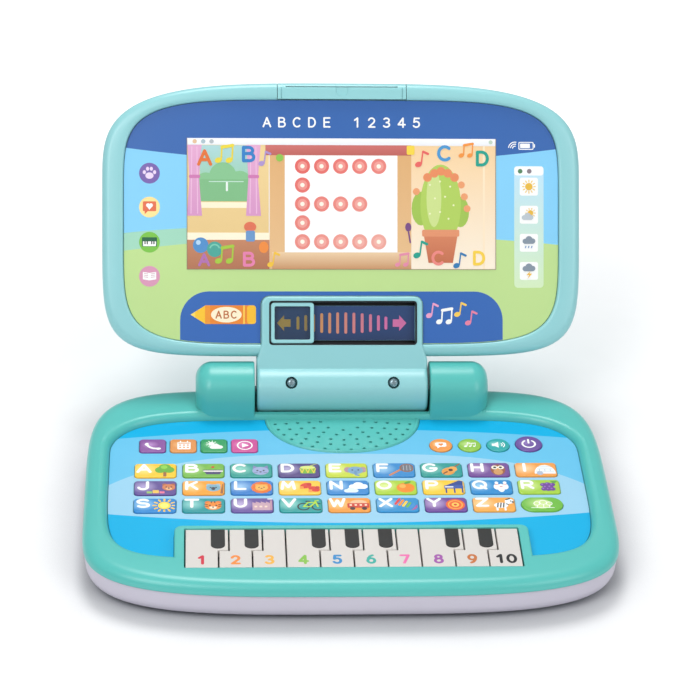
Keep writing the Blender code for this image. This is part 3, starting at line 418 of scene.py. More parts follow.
class Nodes:
    """A material's node tree, with short calls for the nodes used here."""

    def __init__(self, name):
        self.material = bpy.data.materials.new(name)
        self.material.use_nodes = True
        self.tree = self.material.node_tree
        self.shader = self.tree.nodes["Principled BSDF"]
        self.coords = self.tree.nodes.new("ShaderNodeTexCoord").outputs["Object"]

    def link(self, source, target):
        self.tree.links.new(source, target)

    def x_and_y(self):
        split = self.tree.nodes.new("ShaderNodeSeparateXYZ")
        self.link(self.coords, split.inputs[0])
        return split.outputs["X"], split.outputs["Y"]

    def noise(self, scale, detail=2.0):
        node = self.tree.nodes.new("ShaderNodeTexNoise")
        node.inputs["Scale"].default_value = scale
        node.inputs["Detail"].default_value = detail
        self.link(self.coords, node.inputs["Vector"])
        return node.outputs["Fac"]

    def math(self, operation, first, second=0.0, third=0.0):
        node = self.tree.nodes.new("ShaderNodeMath")
        node.operation = operation
        for socket, value in zip(node.inputs, (first, second, third)):
            if isinstance(value, (int, float)):
                socket.default_value = value
            else:
                self.link(value, socket)
        return node.outputs[0]

    def spread(self, value, low, high):
        """Maps 0 to 1 onto a range."""
        return self.math("MULTIPLY_ADD", value, high - low, low)

    def mix(self, share, first, second):
        node = self.tree.nodes.new("ShaderNodeMix")
        node.data_type = "RGBA"
        for socket, value in ((node.inputs[0], share), (node.inputs[6], first), (node.inputs[7], second)):
            if isinstance(value, tuple):
                socket.default_value = (*value, 1.0)
            elif isinstance(value, (int, float)):
                socket.default_value = value
            else:
                self.link(value, socket)
        return node.outputs[2]

    def scaled(self, colour, factor):
        """The colour times a factor that a node gives."""
        node = self.tree.nodes.new("ShaderNodeVectorMath")
        node.operation = "SCALE"
        if isinstance(colour, tuple):
            node.inputs[0].default_value = colour
        else:
            self.link(colour, node.inputs[0])
        self.link(factor, node.inputs["Scale"])
        return node.outputs[0]

    def surface(self, colour, roughness, grain=0.04, grain_scale=1400.0, edge=0.0004, coat=0.0):
        """Colour with faint mottling, uneven gloss, a fine moulded grain and soft edges."""
        mottled = self.scaled(colour, self.spread(self.noise(22.0, 2.0), 0.97, 1.03))
        self.link(mottled, self.shader.inputs["Base Color"])
        uneven = self.spread(self.noise(55.0, 1.0), roughness - 0.02, roughness + 0.02)
        self.link(uneven, self.shader.inputs["Roughness"])
        bump = self.tree.nodes.new("ShaderNodeBump")
        bump.inputs["Strength"].default_value = grain
        bump.inputs["Distance"].default_value = 0.0002
        self.link(self.noise(grain_scale, 2.0), bump.inputs["Height"])
        if edge:
            bevel = self.tree.nodes.new("ShaderNodeBevel")
            bevel.samples = 4
            bevel.inputs["Radius"].default_value = edge
            self.link(bevel.outputs["Normal"], bump.inputs["Normal"])
        self.link(bump.outputs["Normal"], self.shader.inputs["Normal"])
        self.shader.inputs["Coat Weight"].default_value = coat
        self.shader.inputs["Coat Roughness"].default_value = 0.08
        return self.material


def plastic(name, colour, roughness=0.32, **looks):
    return Nodes(name).surface(linear(colour), roughness, **looks)


def printed(name):
    """Ink whose colour comes from the mesh, with the fine uneven dots of a screen print."""
    nodes = Nodes(name)
    ink = nodes.tree.nodes.new("ShaderNodeAttribute")
    ink.attribute_name = "print"
    dots = nodes.spread(nodes.noise(2600.0, 1.0), 0.97, 1.03)
    return nodes.surface(nodes.scaled(ink.outputs["Color"], dots), 0.31, grain=0.01, edge=0.0, coat=0.1)


def curve_side(nodes, across, along, level, bend, tilt=0.0, centre=0.0, curl=0.0):
    """1 above the curve level + tilt * x + bend * u^2 + curl * u^4, where u is x - centre, else 0."""
    off = nodes.math("SUBTRACT", across, centre)
    square = nodes.math("MULTIPLY", off, off)
    rise = nodes.math("MULTIPLY", nodes.math("MULTIPLY_ADD", square, curl, bend), square)
    height = nodes.math("ADD", nodes.math("MULTIPLY_ADD", across, tilt, level), rise)
    return nodes.math("GREATER_THAN", along, height)


def film_material():
    """The keypad film: bands of three blues between curved edges."""
    nodes = Nodes("keypad_film")
    x, y = nodes.x_and_y()
    bright, middle, pale = linear((6, 172, 222)), linear((104, 190, 228)), linear((154, 204, 230))
    colour = nodes.mix(curve_side(nodes, x, y, -0.0120, -0.35, curl=-74.0), pale, middle)
    colour = nodes.mix(curve_side(nodes, x, y, 0.0135, -0.55), colour, bright)
    colour = nodes.mix(curve_side(nodes, x, y, -0.0805, 0.5), bright, colour)
    nodes.shader.inputs["Specular IOR Level"].default_value = 0.25
    return nodes.surface(colour, 0.34, grain=0.015, grain_scale=900.0, edge=0.0, coat=0.05)


def panel_material():
    """The lid's printed panel: a royal blue band over sky, then a far hill and a green field."""
    nodes = Nodes("picture_panel")
    x, y = nodes.x_and_y()
    sky, royal = linear((132, 206, 244)), linear((46, 99, 172))
    hill, field = linear((160, 214, 188)), linear((190, 220, 143))
    colour = nodes.mix(curve_side(nodes, x, y, 0.0950, -0.8, centre=-0.0600), hill, sky)
    colour = nodes.mix(curve_side(nodes, x, y, 0.0902, -0.45, tilt=0.015), field, colour)
    colour = nodes.mix(curve_side(nodes, x, y, 0.1329, 0.52), colour, royal)
    return nodes.surface(colour, 0.32, grain=0.015, grain_scale=900.0, edge=0.0, coat=0.1)


# The painted highlight on each pad: how much flatter than round it is, how far up it sits, how strongly it
# pales the pad.
PAD_HIGHLIGHT_FLAT, PAD_HIGHLIGHT_UP, PAD_HIGHLIGHT_SHARE = 1.3, 0.0012, 0.85


def pad_material(name, colour, painted_light, left, reach):
    """A pad that pales towards a point left of its middle: a painted highlight. Distances are in millimetres.
    """
    nodes = Nodes(name.replace("button", "pad"))
    x, y = nodes.x_and_y()
    x = nodes.math("ADD", x, left * MM)
    y = nodes.math("MULTIPLY_ADD", y, PAD_HIGHLIGHT_FLAT, -PAD_HIGHLIGHT_UP)
    far = nodes.math("SQRT", nodes.math("ADD", nodes.math("MULTIPLY", x, x), nodes.math("MULTIPLY", y, y)))
    near = nodes.math("MULTIPLY_ADD", far, -1 / (reach * MM), 1.0)
    share = nodes.math("MULTIPLY", nodes.math("MAXIMUM", near, 0.0), PAD_HIGHLIGHT_SHARE)
    shade_of = nodes.mix(share, linear(colour), linear(painted_light))
    return nodes.surface(shade_of, 0.31, grain=0.02, edge=0.0, coat=0.15)


def metal_material(name, colour, roughness):
    nodes = Nodes(name)
    nodes.surface(linear(colour), roughness, grain=0.03, edge=0.0001)
    nodes.shader.inputs["Metallic"].default_value = 1.0
    return nodes.material


def clear_material():
    """A thin clear window: mostly see-through, with a faint tint and a mirror sheen at its edges."""
    nodes = Nodes("clear_window")
    tree = nodes.tree
    tree.nodes.remove(nodes.shader)
    clear = tree.nodes.new("ShaderNodeBsdfTransparent")
    clear.inputs["Color"].default_value = (0.90, 0.96, 0.97, 1.0)
    gloss = tree.nodes.new("ShaderNodeBsdfGlossy")
    nodes.link(nodes.spread(nodes.noise(80.0), 0.04, 0.12), gloss.inputs["Roughness"])
    sheen = tree.nodes.new("ShaderNodeFresnel")
    sheen.inputs["IOR"].default_value = 1.45
    mix = tree.nodes.new("ShaderNodeMixShader")
    for source, target in ((sheen, 0), (clear, 1), (gloss, 2)):
        nodes.link(source.outputs[0], mix.inputs[target])
    nodes.link(mix.outputs[0], tree.nodes["Material Output"].inputs["Surface"])
    return nodes.material


TEAL = plastic("base_teal", (86, 188, 181), 0.32, edge=0.0008)
LID_TEAL = plastic("lid_teal", (146, 206, 210), 0.31, edge=0.0005)
SLIDER_TEAL = plastic("slider_teal", (154, 212, 216), 0.31, edge=0.0003)
WHITE = plastic("white_casing", (199, 195, 209), 0.36, edge=0.0006)
KEY_WHITE = plastic("key_white", (212, 207, 202), 0.34, edge=0.0003)
BLACK = plastic("black_note", (22, 20, 20), 0.50, edge=0.0003, grain=0.08)
# Dark under the slider track's print, and painted shade on the liner and bed in the lid's window.
DARK = plastic("track_and_painted_shade", (10, 16, 24), 0.50, edge=0.0)
BOARD = plastic("board_green", (24, 92, 52), 0.45, grain=0.10, grain_scale=500.0, edge=0.0002)
CONE = plastic("speaker_black", (30, 30, 32), 0.60, grain=0.10, edge=0.0002)
STEEL = metal_material("screw_steel", (176, 182, 190), 0.32)
SCREW = metal_material("dark_screw", (150, 172, 180), 0.36)
PRINT = printed("ink")
FILM_PRINT = film_material()
PANEL_PRINT = panel_material()
CLEAR = clear_material()


# ---------------------------------------------------------------- printing
INK_STEP = 0.000006
INK_ROOT = 0.00006
WHITE_INK = (250, 250, 248)
BLACK_INK = (38, 34, 36)


def bow(x, y, across, tall, start, stop, steps=10):
    """Points along part of an ellipse, with the angles in degrees."""
    turns = [math.radians(start + (stop - start) * k / steps) for k in range(steps + 1)]
    return [(x + across * math.cos(turn), y + tall * math.sin(turn)) for turn in turns]


STEM = [(0.08, 0.0), (0.08, 1.0)]
HALF_BOWL = [(0.08, 1.0), *bow(0.55, 0.72, 0.36, 0.28, 90, -90), (0.08, 0.44)]
ROUND = bow(0.5, 0.5, 0.5, 0.5, 0, 360, 24)
GLYPHS = {
    "A": [[(0.0, 0.0), (0.5, 1.0)], [(0.5, 1.0), (1.0, 0.0)], [(0.2, 0.34), (0.8, 0.34)]],
    "B": [STEM, [(0.08, 1.0), *bow(0.52, 0.77, 0.32, 0.23, 90, -90), (0.08, 0.54)],
          [(0.08, 0.54), *bow(0.58, 0.27, 0.36, 0.27, 90, -90), (0.08, 0.0)]],
    "C": [bow(0.54, 0.5, 0.52, 0.5, 48, 312, 18)],
    "D": [STEM, [(0.08, 1.0), *bow(0.45, 0.5, 0.5, 0.5, 90, -90, 14), (0.08, 0.0)]],
    "E": [[(0.9, 1.0), (0.12, 1.0)], [(0.12, 1.0), (0.12, 0.0)],
          [(0.12, 0.0), (0.9, 0.0)], [(0.12, 0.52), (0.8, 0.52)]],
    "F": [[(0.9, 1.0), (0.12, 1.0)], [(0.12, 1.0), (0.12, 0.0)], [(0.12, 0.5), (0.8, 0.5)]],
    "G": [bow(0.52, 0.5, 0.52, 0.5, 48, 345, 20), [(1.02, 0.42), (0.58, 0.42)]],
    "H": [STEM, [(0.92, 0.0), (0.92, 1.0)], [(0.08, 0.52), (0.92, 0.52)]],
    "I": [[(0.5, 0.0), (0.5, 1.0)]],
    "J": [[(0.82, 1.0), *bow(0.46, 0.32, 0.36, 0.32, 0, -165, 12)]],
    "K": [STEM, [(0.88, 1.0), (0.12, 0.42)], [(0.38, 0.62), (0.92, 0.0)]],
    "L": [[(0.14, 1.0), (0.14, 0.0)], [(0.14, 0.0), (0.9, 0.0)]],
    "M": [[(0.0, 0.0), (0.12, 1.0)], [(0.12, 1.0), (0.5, 0.25)],
          [(0.5, 0.25), (0.88, 1.0)], [(0.88, 1.0), (1.0, 0.0)]],
    "N": [STEM, [(0.08, 1.0), (0.92, 0.0)], [(0.92, 0.0), (0.92, 1.0)]],
    "O": [ROUND],
    "P": [STEM, HALF_BOWL],
    "Q": [ROUND, [(0.62, 0.3), (0.98, -0.04)]],
    "R": [STEM, HALF_BOWL, [(0.5, 0.44), (0.92, 0.0)]],
    "S": [bow(0.5, 0.75, 0.42, 0.25, 35, 262, 14) + bow(0.5, 0.25, 0.44, 0.25, 82, -145, 14)],
    "T": [[(0.02, 1.0), (0.98, 1.0)], [(0.5, 1.0), (0.5, 0.0)]],
    "U": [[(0.08, 1.0), *bow(0.5, 0.42, 0.42, 0.42, 180, 360, 14), (0.92, 1.0)]],
    "V": [[(0.02, 1.0), (0.5, 0.0)], [(0.5, 0.0), (0.98, 1.0)]],
    "W": [[(-0.05, 1.0), (0.22, 0.0)], [(0.22, 0.0), (0.5, 0.82)],
          [(0.5, 0.82), (0.78, 0.0)], [(0.78, 0.0), (1.05, 1.0)]],
    "X": [[(0.05, 1.0), (0.95, 0.0)], [(0.95, 1.0), (0.05, 0.0)]],
    "Y": [[(0.02, 1.0), (0.5, 0.48)], [(0.98, 1.0), (0.5, 0.48)], [(0.5, 0.48), (0.5, 0.0)]],
    "Z": [[(0.08, 1.0), (0.92, 1.0)], [(0.92, 1.0), (0.08, 0.0)], [(0.08, 0.0), (0.92, 0.0)]],
    "0": [bow(0.5, 0.5, 0.46, 0.5, 0, 360, 22)],
    "1": [[(0.22, 0.76), (0.6, 1.0)], [(0.6, 1.0), (0.6, 0.0)]],
    "2": [bow(0.48, 0.7, 0.40, 0.30, 165, -35, 12) + [(0.1, 0.0)], [(0.1, 0.0), (0.92, 0.0)]],
    "3": [bow(0.46, 0.755, 0.38, 0.245, 145, -90, 12), bow(0.46, 0.255, 0.43, 0.255, 90, -150, 12)],
    "4": [[(0.7, 0.0), (0.7, 1.0)], [(0.7, 1.0), (0.04, 0.28)], [(0.04, 0.28), (0.98, 0.28)]],
    "5": [[(0.86, 1.0), (0.22, 1.0)], [(0.22, 1.0), (0.16, 0.56)],
          bow(0.46, 0.32, 0.43, 0.32, 130, -150, 14)],
    "6": [bow(0.5, 0.31, 0.41, 0.31, 0, 360, 20), [(0.10, 0.36), (0.2, 0.68), (0.40, 0.90), (0.68, 1.02)]],
    "7": [[(0.06, 1.0), (0.94, 1.0)], [(0.94, 1.0), (0.4, 0.0)]],
    "8": [bow(0.5, 0.77, 0.34, 0.23, 0, 360, 18), bow(0.5, 0.27, 0.42, 0.27, 0, 360, 20)],
    "9": [bow(0.5, 0.69, 0.41, 0.31, 0, 360, 20), [(0.90, 0.62), (0.82, 0.34), (0.62, 0.11), (0.34, -0.02)]],
}


class Artwork:
    """Printed shapes in millimetres. Each is a closed thin prism, a hair prouder than the one before."""

    def __init__(self, height, reach=None):
        self.height = height
        self.reach = reach
        self.verts = []
        self.faces = []
        self.colours = []
        self.at(0, 0)

    def at(self, x, y, size=1.0, level=0):
        """Moves the origin of the shapes that follow, which start again at a level."""
        self.x, self.y, self.size, self.level = x, y, size, level

    def add(self, points, faces, colour, colour_low=None):
        """Adds filled faces as one prism. With a second colour, they shade down to it."""
        self.level += 1
        top = self.height + INK_STEP * self.level
        start, count = len(self.verts), len(points)
        flat = [self.kept(self.x + self.size * x, self.y + self.size * y) for x, y in points]
        self.verts += [(x, y, self.height - INK_ROOT) for x, y in flat]
        self.verts += [(x, y, top) for x, y in flat]
        shades = [linear(colour)] * count
        if colour_low is not None:
            low, high = min(y for _, y in points), max(y for _, y in points)
            ends = Vector(linear(colour)), Vector(linear(colour_low))
            shades = [tuple(ends[1].lerp(ends[0], (y - low) / (high - low))) for _, y in points]
        self.colours += shades * 2
        edges = {(face[k - 1], face[k]) for face in faces for k in range(len(face))}
        for face in faces:
            self.faces.append([start + count + k for k in face])
            self.faces.append([start + k for k in reversed(face)])
        for a, b in sorted(edges):
            if (b, a) not in edges:
                self.faces.append([start + a, start + b, start + count + b, start + count + a])

    def kept(self, x, y):
        """The point in metres, held inside the printable area."""
        if self.reach:
            x, y = (max(-end, min(end, v)) for v, end in zip((x, y), self.reach))
        return x * MM, y * MM

    def shape(self, points, colour, colour_low=None):
        area = sum(a[0] * b[1] - b[0] * a[1] for a, b in zip(points, points[1:] + points[:1]))
        points = points if area > 0 else points[::-1]
        self.add(points, [list(range(len(points)))], colour, colour_low)

    def rect(self, x, y, width, depth, colour, radius=0.0, colour_low=None):
        if radius:
            self.shape(rounded_rectangle(x, y, width, depth, radius, 4), colour, colour_low)
        else:
            w, d = width / 2, depth / 2
            self.shape([(x - w, y - d), (x + w, y - d), (x + w, y + d), (x - w, y + d)], colour, colour_low)

    def disc(self, x, y, radius, colour, tall=None, turn=0.0, sides=20):
        tall = radius if tall is None else tall
        cos, sin = math.cos(math.radians(turn)), math.sin(math.radians(turn))
        points = []
        for k in range(sides):
            u = radius * math.cos(2 * math.pi * k / sides)
            v = tall * math.sin(2 * math.pi * k / sides)
            points.append((x + u * cos - v * sin, y + u * sin + v * cos))
        self.shape(points, colour)

    def ring(self, points, width, colour):
        """A band of even width along a closed run of points, whose last point repeats the first."""
        points = points[:-1]
        sides, faces, count = [], [], len(points)
        for k, (x, y) in enumerate(points):
            before, after = points[k - 1], points[(k + 1) % count]
            along = Vector((after[0] - before[0], after[1] - before[1])).normalized() * width / 2
            sides += [(x - along.y, y + along.x), (x + along.y, y - along.x)]
        for k in range(count):
            n = (k + 1) % count
            faces.append([2 * k, 2 * k + 1, 2 * n + 1, 2 * n])
        self.add(sides, faces, colour)

    def stroke(self, points, width, colour):
        """A band of even width along a run of points, with round ends."""
        if math.dist(points[0], points[-1]) < 0.01 * width:
            self.ring(points, width, colour)
            return
        left, right, count = [], [], len(points)
        for k, (x, y) in enumerate(points):
            before, after = points[max(k - 1, 0)], points[min(k + 1, count - 1)]
            along = Vector((after[0] - before[0], after[1] - before[1])).normalized() * width / 2
            left.append((x - along.y, y + along.x))
            right.append((x + along.y, y - along.x))
        outline = right + self.cap(points[-1], right[-1]) + left[::-1] + self.cap(points[0], left[0])
        cap = len(self.cap(points[-1], right[-1]))
        faces = [[k, k + 1, 2 * count + cap - 2 - k, 2 * count + cap - 1 - k] for k in range(count - 1)]
        faces.append(list(range(count - 1, count + cap + 1)))
        faces.append([*range(2 * count + cap - 1, 2 * count + 2 * cap), 0])
        self.add(outline, faces, colour)

    @staticmethod
    def cap(end, side, steps=6):
        """Points round the end of a stroke, after the one at its side."""
        u, v = side[0] - end[0], side[1] - end[1]
        turns = [math.pi * k / steps for k in range(1, steps)]
        pairs = [(math.cos(turn), math.sin(turn)) for turn in turns]
        return [(end[0] + u * cos - v * sin, end[1] + u * sin + v * cos) for cos, sin in pairs]

    def arc(self, x, y, radius, width, colour, start=0.0, stop=360.0, steps=20):
        self.stroke(bow(x, y, radius, radius, start, stop, steps), width, colour)

    def line(self, points, width, colour):
        """Straight strokes from point to point."""
        for ends in zip(points, points[1:]):
            self.stroke(list(ends), width, colour)

    def text(self, text, x, y, wide, tall, weight, colour, pitch=1.35):
        """Rounded lettering centred on a point; wide and tall measure one letter, pitch its step."""
        for k, letter in enumerate(text):
            if letter not in GLYPHS:
                continue
            left = x + (k - (len(text) - 1) / 2) * wide * pitch - wide / 2
            for run in GLYPHS[letter]:
                self.stroke([(left + u * wide, y + (v - 0.5) * tall) for u, v in run], weight, colour)

    def note(self, x, y, size, colour):
        """A quaver centred on a point."""
        self.disc(x - 0.22 * size, y - 0.36 * size, 0.22 * size, colour, 0.17 * size, 20, 14)
        stem = (x - 0.04 * size, y - 0.32 * size), (x + 0.06 * size, y + 0.45 * size)
        flag = (x + 0.08 * size, y + 0.44 * size), (x + 0.38 * size, y + 0.30 * size)
        self.line(stem, 0.09 * size, colour)
        self.line(flag, 0.15 * size, colour)

    def notes(self, x, y, size, colour):
        """A pair of quavers joined by a beam."""
        for side in (-1, 1):
            foot = x + side * 0.30 * size
            self.disc(foot - 0.14 * size, y - 0.36 * size, 0.20 * size, colour, 0.15 * size, 20, 14)
            stem = (foot + 0.02 * size, y - 0.32 * size), (foot + 0.06 * size, y + 0.34 * size)
            self.line(stem, 0.09 * size, colour)
        beam = (x - 0.24 * size, y + 0.36 * size), (x + 0.36 * size, y + 0.46 * size)
        self.line(beam, 0.18 * size, colour)

    def cloud(self, x, y, size, colour):
        for u, v, radius in ((-0.32, -0.04, 0.22), (0.0, 0.10, 0.30), (0.32, -0.02, 0.22)):
            self.disc(x + u * size, y + v * size, radius * size, colour)
        self.rect(x, y - 0.15 * size, 0.86 * size, 0.22 * size, colour, 0.1 * size)

    def sun(self, x, y, radius, colour, ray_colour, rays=10):
        for k in range(rays):
            turn = 2 * math.pi * k / rays
            cos, sin = math.cos(turn), math.sin(turn)
            ray = [(x + reach * radius * cos, y + reach * radius * sin) for reach in (1.3, 1.75)]
            self.line(ray, 0.30 * radius, ray_colour)
        self.disc(x, y, radius, colour)

    def face(self, x, y, size, colour, ear_colour, ears="round"):
        """A plain animal's head: ears, a round face, two eyes and a nose."""
        for side in (-1, 1):
            if ears == "round":
                self.disc(x + side * 0.62 * size, y + 0.62 * size, 0.36 * size, ear_colour)
            elif ears == "wide":
                self.disc(x + side * 0.95 * size, y + 0.15 * size, 0.50 * size, ear_colour, 0.62 * size)
            else:
                self.shape(
                    [(x + side * 0.25 * size, y + 0.70 * size), (x + side * 0.95 * size, y + 0.35 * size),
                     (x + side * 0.85 * size, y + 1.15 * size)], ear_colour,
                )
        self.disc(x, y, size, colour, 0.85 * size)
        for side in (-1, 1):
            self.disc(x + side * 0.38 * size, y + 0.08 * size, 0.13 * size, BLACK_INK, sides=10)
        self.disc(x, y - 0.22 * size, 0.16 * size, (70, 50, 60), 0.11 * size, sides=10)

    def attach(self, obj):
        """Adds the printed shapes to a piece's own mesh."""
        obj.data.materials.append(PRINT)
        index = len(obj.data.materials) - 1
        bm = bmesh.new()
        bm.from_mesh(obj.data)
        layer = bm.verts.layers.float_color.new("print")
        made = []
        for point, colour in zip(self.verts, self.colours):
            vert = bm.verts.new(point)
            vert[layer] = (*colour, 1.0)
            made.append(vert)
        for corners in self.faces:
            face = bm.faces.new([made[k] for k in corners])
            face.material_index = index
            face.smooth = False
        bm.to_mesh(obj.data)
        bm.free()


# ---------------------------------------------------------------- base casings
def tower(side):
    """One rounded hinge tower, drawn as sections across the hinge axis."""

    def section(shrink, x):
        radius = TOWER_RADIUS - shrink
        arc = [math.pi * k / 40 for k in range(41)]
        points = [(HINGE.y + radius * math.cos(turn), HINGE.z + radius * math.sin(turn)) for turn in arc]
        low = DECK_Z - TOWER_SINK
        back = TOWER_BACK - 0.6 * shrink
        points += [(HINGE.y - radius, low), (back, low), (back, HINGE.z - TOWER_BACK_DROP)]
        return [(x, y, z) for y, z in points]

    inner_edge = list(rounded_edge(ROOT, steps=4))
    rings = [section(inset, side * (TOWER_INNER + drop)) for inset, drop in reversed(inner_edge)]
    outer_edge = rounded_edge(TOWER_ROUND, steps=12)
    outer = [section(inset, side * (TOWER_OUTER - drop)) for inset, drop in outer_edge]
    return loft(f"tower_{side}", rings + outer)


def grille_outline(grow):
    """The D of the grille: a straight back edge and a bowed front."""
    reach = GRILLE_HALF + grow
    found = [(reach, GRILLE_Y + ROOT), (-reach, GRILLE_Y + ROOT)]
    steps = 60
    for k in range(steps + 1):
        turn = math.pi * (1 + k / steps)
        x = math.copysign(abs(math.cos(turn)) ** GRILLE_ROUNDNESS, math.cos(turn)) * reach
        y = GRILLE_Y - abs(math.sin(turn)) ** GRILLE_ROUNDNESS * (GRILLE_DEPTH + grow)
        found.append((x, y))
    return found


def grille_holes():
    bm = bmesh.new()
    for radius, count in GRILLE_RINGS:
        for k in range(count):
            turn = math.pi * (1 + GRILLE_FAN + (1 - 2 * GRILLE_FAN) * k / (count - 1))
            x, y = GRILLE_OVAL * radius * math.cos(turn), GRILLE_RINGS_Y + radius * math.sin(turn)
            bmesh.ops.create_cone(
                bm, cap_ends=True, segments=12, radius1=GRILLE_HOLE, radius2=GRILLE_HOLE,
                depth=GRILLE_HOLE_DEPTH,
                matrix=Matrix.Translation((x, y, DECK_Z)),
            )
    return new_object("grille_holes", bm)


def piano_frame(grow):
    deep = FRAME_REAR - FRAME_FRONT
    return grown_rectangle(0, FRAME_MIDDLE, 2 * FRAME_HALF, deep, FRAME_CORNER)(grow)


def build_base_shell():
    rings = [
        base_ring(FILM, WALL, DECK_Z - WALL),
        base_ring(FILM, 2 * WALL, RIM_Z - 2 * WALL),
        base_ring(BASE, -3 * WALL, RIM_Z - 2 * WALL),
        base_ring(BASE, -WALL, RIM_Z - 4 * WALL),
        base_ring(BASE, -WALL, SPLIT_Z),
        base_ring(BASE, 0, SPLIT_Z),
    ]
    rings += [base_ring(BASE, -inset, RIM_Z - drop) for inset, drop in rounded_edge(RIM_ACROSS, RIM_DOWN)]
    outer, inner = rings[-1], base_ring(FILM, RIM_INNER, RIM_Z)
    rings += [between(outer, inner, share, RIM_CROWN) for share in (0.35, 0.70)]
    for k in range(FINE + 1):
        turn = math.pi / 2 * k / FINE
        grow, drop = RIM_INNER * (1 - math.sin(turn)), RIM_FALL * (1 - math.cos(turn))
        rings.append(base_ring(FILM, grow, RIM_Z - drop))
    rings.append(base_ring(FILM, 0, DECK_Z))
    shell = loft("base_shell", rings)

    relief = box("relief", (-SADDLE_HALF, RELIEF_FRONT, RELIEF_Z), (SADDLE_HALF, SADDLE_REAR, RIM_Z + WALL))
    combine(shell, "DIFFERENCE", relief)
    saddle = box("saddle", (-SADDLE_HALF, SADDLE_FRONT, SADDLE_LOW), (SADDLE_HALF, SADDLE_REAR, SADDLE_TOP))
    boss = rounded_prism("boss", grille_outline, DECK_Z - ROOT, BOSS_Z, SOFT_EDGE, 3)
    ridge = rounded_prism(
        "ridge", lambda grow: grille_outline(grow - RIDGE_INSET), DECK_Z, BOSS_Z + RIDGE_RISE, RIDGE_EDGE, 3
    )
    hollow = plate("ridge_hollow", grille_outline(-RIDGE_INNER), RIDGE_FLOOR, BOSS_Z + ROOT)
    combine(ridge, "DIFFERENCE", hollow)
    collar = rounded_prism("collar", piano_frame, DECK_Z - ROOT, FRAME_TOP, FRAME_EDGE)
    combine(shell, "UNION", saddle, boss, collar)
    combine(shell, "UNION", ridge, tower(-1), tower(1))

    trough = cylinder("trough", TROUGH_RADIUS, HINGE, 2 * TOWER_INNER - 0.0002, "X", 96)
    wide, deep = KEY_PITCH * KEY_COUNT + 2 * GAP, OPENING_REAR - OPENING_FRONT
    outline = grown_rectangle(0, OPENING_MIDDLE, wide, deep, OPENING_CORNER)
    opening = rounded_prism("opening", outline, OPENING_LOW, OPENING_HIGH)
    combine(shell, "DIFFERENCE", trough, opening, grille_holes())
    finish(shell, TEAL, "base", "teal_base", "base_top_casing")


def build_belly():
    rings = [
        base_ring(BASE, -BELLY_INSET - BELLY_ROUND, FLOOR_Z + WALL),
        base_ring(BASE, -BELLY_INSET - 2 * WALL, FLOOR_Z + BELLY_ROUND - WALL),
        base_ring(BASE, -BELLY_INSET - WALL, BELLY_TOP),
        base_ring(BASE, -BELLY_INSET, BELLY_TOP),
    ]
    rings += [base_ring(BASE, -BELLY_INSET - i, FLOOR_Z + d) for i, d in rounded_edge(BELLY_ROUND, steps=12)]
    belly = loft("base_belly", rings)
    low, high = DOOR_LOW, DOOR_HIGH
    hole = Vector((GAP, GAP, 0))
    wall = hole + Vector((BAY_WALL, BAY_WALL, 0))
    bay = box("bay", (*(low - wall).xy, BAY_LOW), (*(high + wall).xy, BAY_HIGH))
    combine(belly, "UNION", bay)
    bay_hole = box("bay_hole", (*(low - hole).xy, -ROOT), (*(high + hole).xy, BAY_HOLE_HIGH))
    combine(belly, "DIFFERENCE", bay_hole)
    for side in (-1, 1):
        for x, y in FEET:
            outline = grown_circle(side * x, y, FOOT_RADIUS, 40)
            combine(belly, "UNION", rounded_prism("foot", outline, 0.0, FOOT_HEIGHT, low_edge=SOFT_EDGE))
        for x, y in POSTS:
            post = cylinder("post", POST_RADIUS, (side * x, y, POST_MIDDLE), POST_HEIGHT, sides=32)
            combine(belly, "UNION", post)
            well = cylinder("well", WELL_RADIUS, (side * x, y, WELL_MIDDLE), WELL_HEIGHT, sides=32)
            combine(belly, "DIFFERENCE", well)
    combine(belly, "DIFFERENCE", box("front_notch", NOTCH_LOW, NOTCH_HIGH))
    finish(belly, WHITE, "base", "white_casing", "base_bottom_casing")


def build_battery_door():
    low, high = DOOR_LOW, DOOR_HIGH
    middle, size = (low + high) / 2, high - low
    door = rounded_prism(
        "battery_cover", grown_rectangle(middle.x, middle.y, size.x, size.y, DOOR_CORNER),
        FLOOR_Z, FLOOR_Z + WALL, low_edge=SOFT_EDGE,
    )
    tab = box("tab", (-TAB_HALF, low.y + TAB_FRONT, TAB_LOW), (TAB_HALF, low.y + TAB_REAR, high.z))
    combine(door, "UNION", tab)
    for k in range(RIB_COUNT):
        y = low.y + RIB_START + RIB_PITCH * k
        rib = box("rib", (-RIB_HALF, y, 0.0), (RIB_HALF, y + RIB_WIDTH, FLOOR_Z + RIB_DEPTH))
        combine(door, "DIFFERENCE", rib)
    well_y = high.y - DOOR_WELL_BACK
    well = cylinder("door_well", DOOR_WELL_RADIUS, (0, well_y, FLOOR_Z), DOOR_WELL_LENGTH, sides=32)
    combine(door, "DIFFERENCE", well)
    finish(door, WHITE, "base", "white_casing", "battery_door")
    centre = (0, well_y, DOOR_SCREW_Z)
    screw = cylinder(
        "battery_cover_screw", DOOR_SCREW_RADIUS, centre, DOOR_SCREW_HEIGHT, sides=32, edge=0.0002
    )
    for across, along in ((CROSS_ARM, CROSS_HALF), (CROSS_HALF, CROSS_ARM)):
        cross = box("cross", (-across, well_y - along, 0.0), (across, well_y + along, CROSS_TOP))
        combine(screw, "DIFFERENCE", cross)
    finish(screw, SCREW, "base", "steel")


# ---------------------------------------------------------------- film and buttons
def film_points(grow):
    return FILM.points(BASE_WAYS, BASE_MIDDLE, grow)


def button_outline(node):
    """(centre, size, corner radius) of a button, read from its node."""
    low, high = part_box(node)
    size = high - low
    across, deep = round(size.x, 5), round(size.y, 5)
    corner = deep / 2 if node in ROUND_BUTTONS else 0.0022
    return (low + high) / 2, (across, deep), corner


ROUND_BUTTONS = ("button_message", "button_music", "button_volume", "button_power", "button_tree")
BUTTONS = sorted(node for node in frame["nodes"] if node.startswith("button_"))


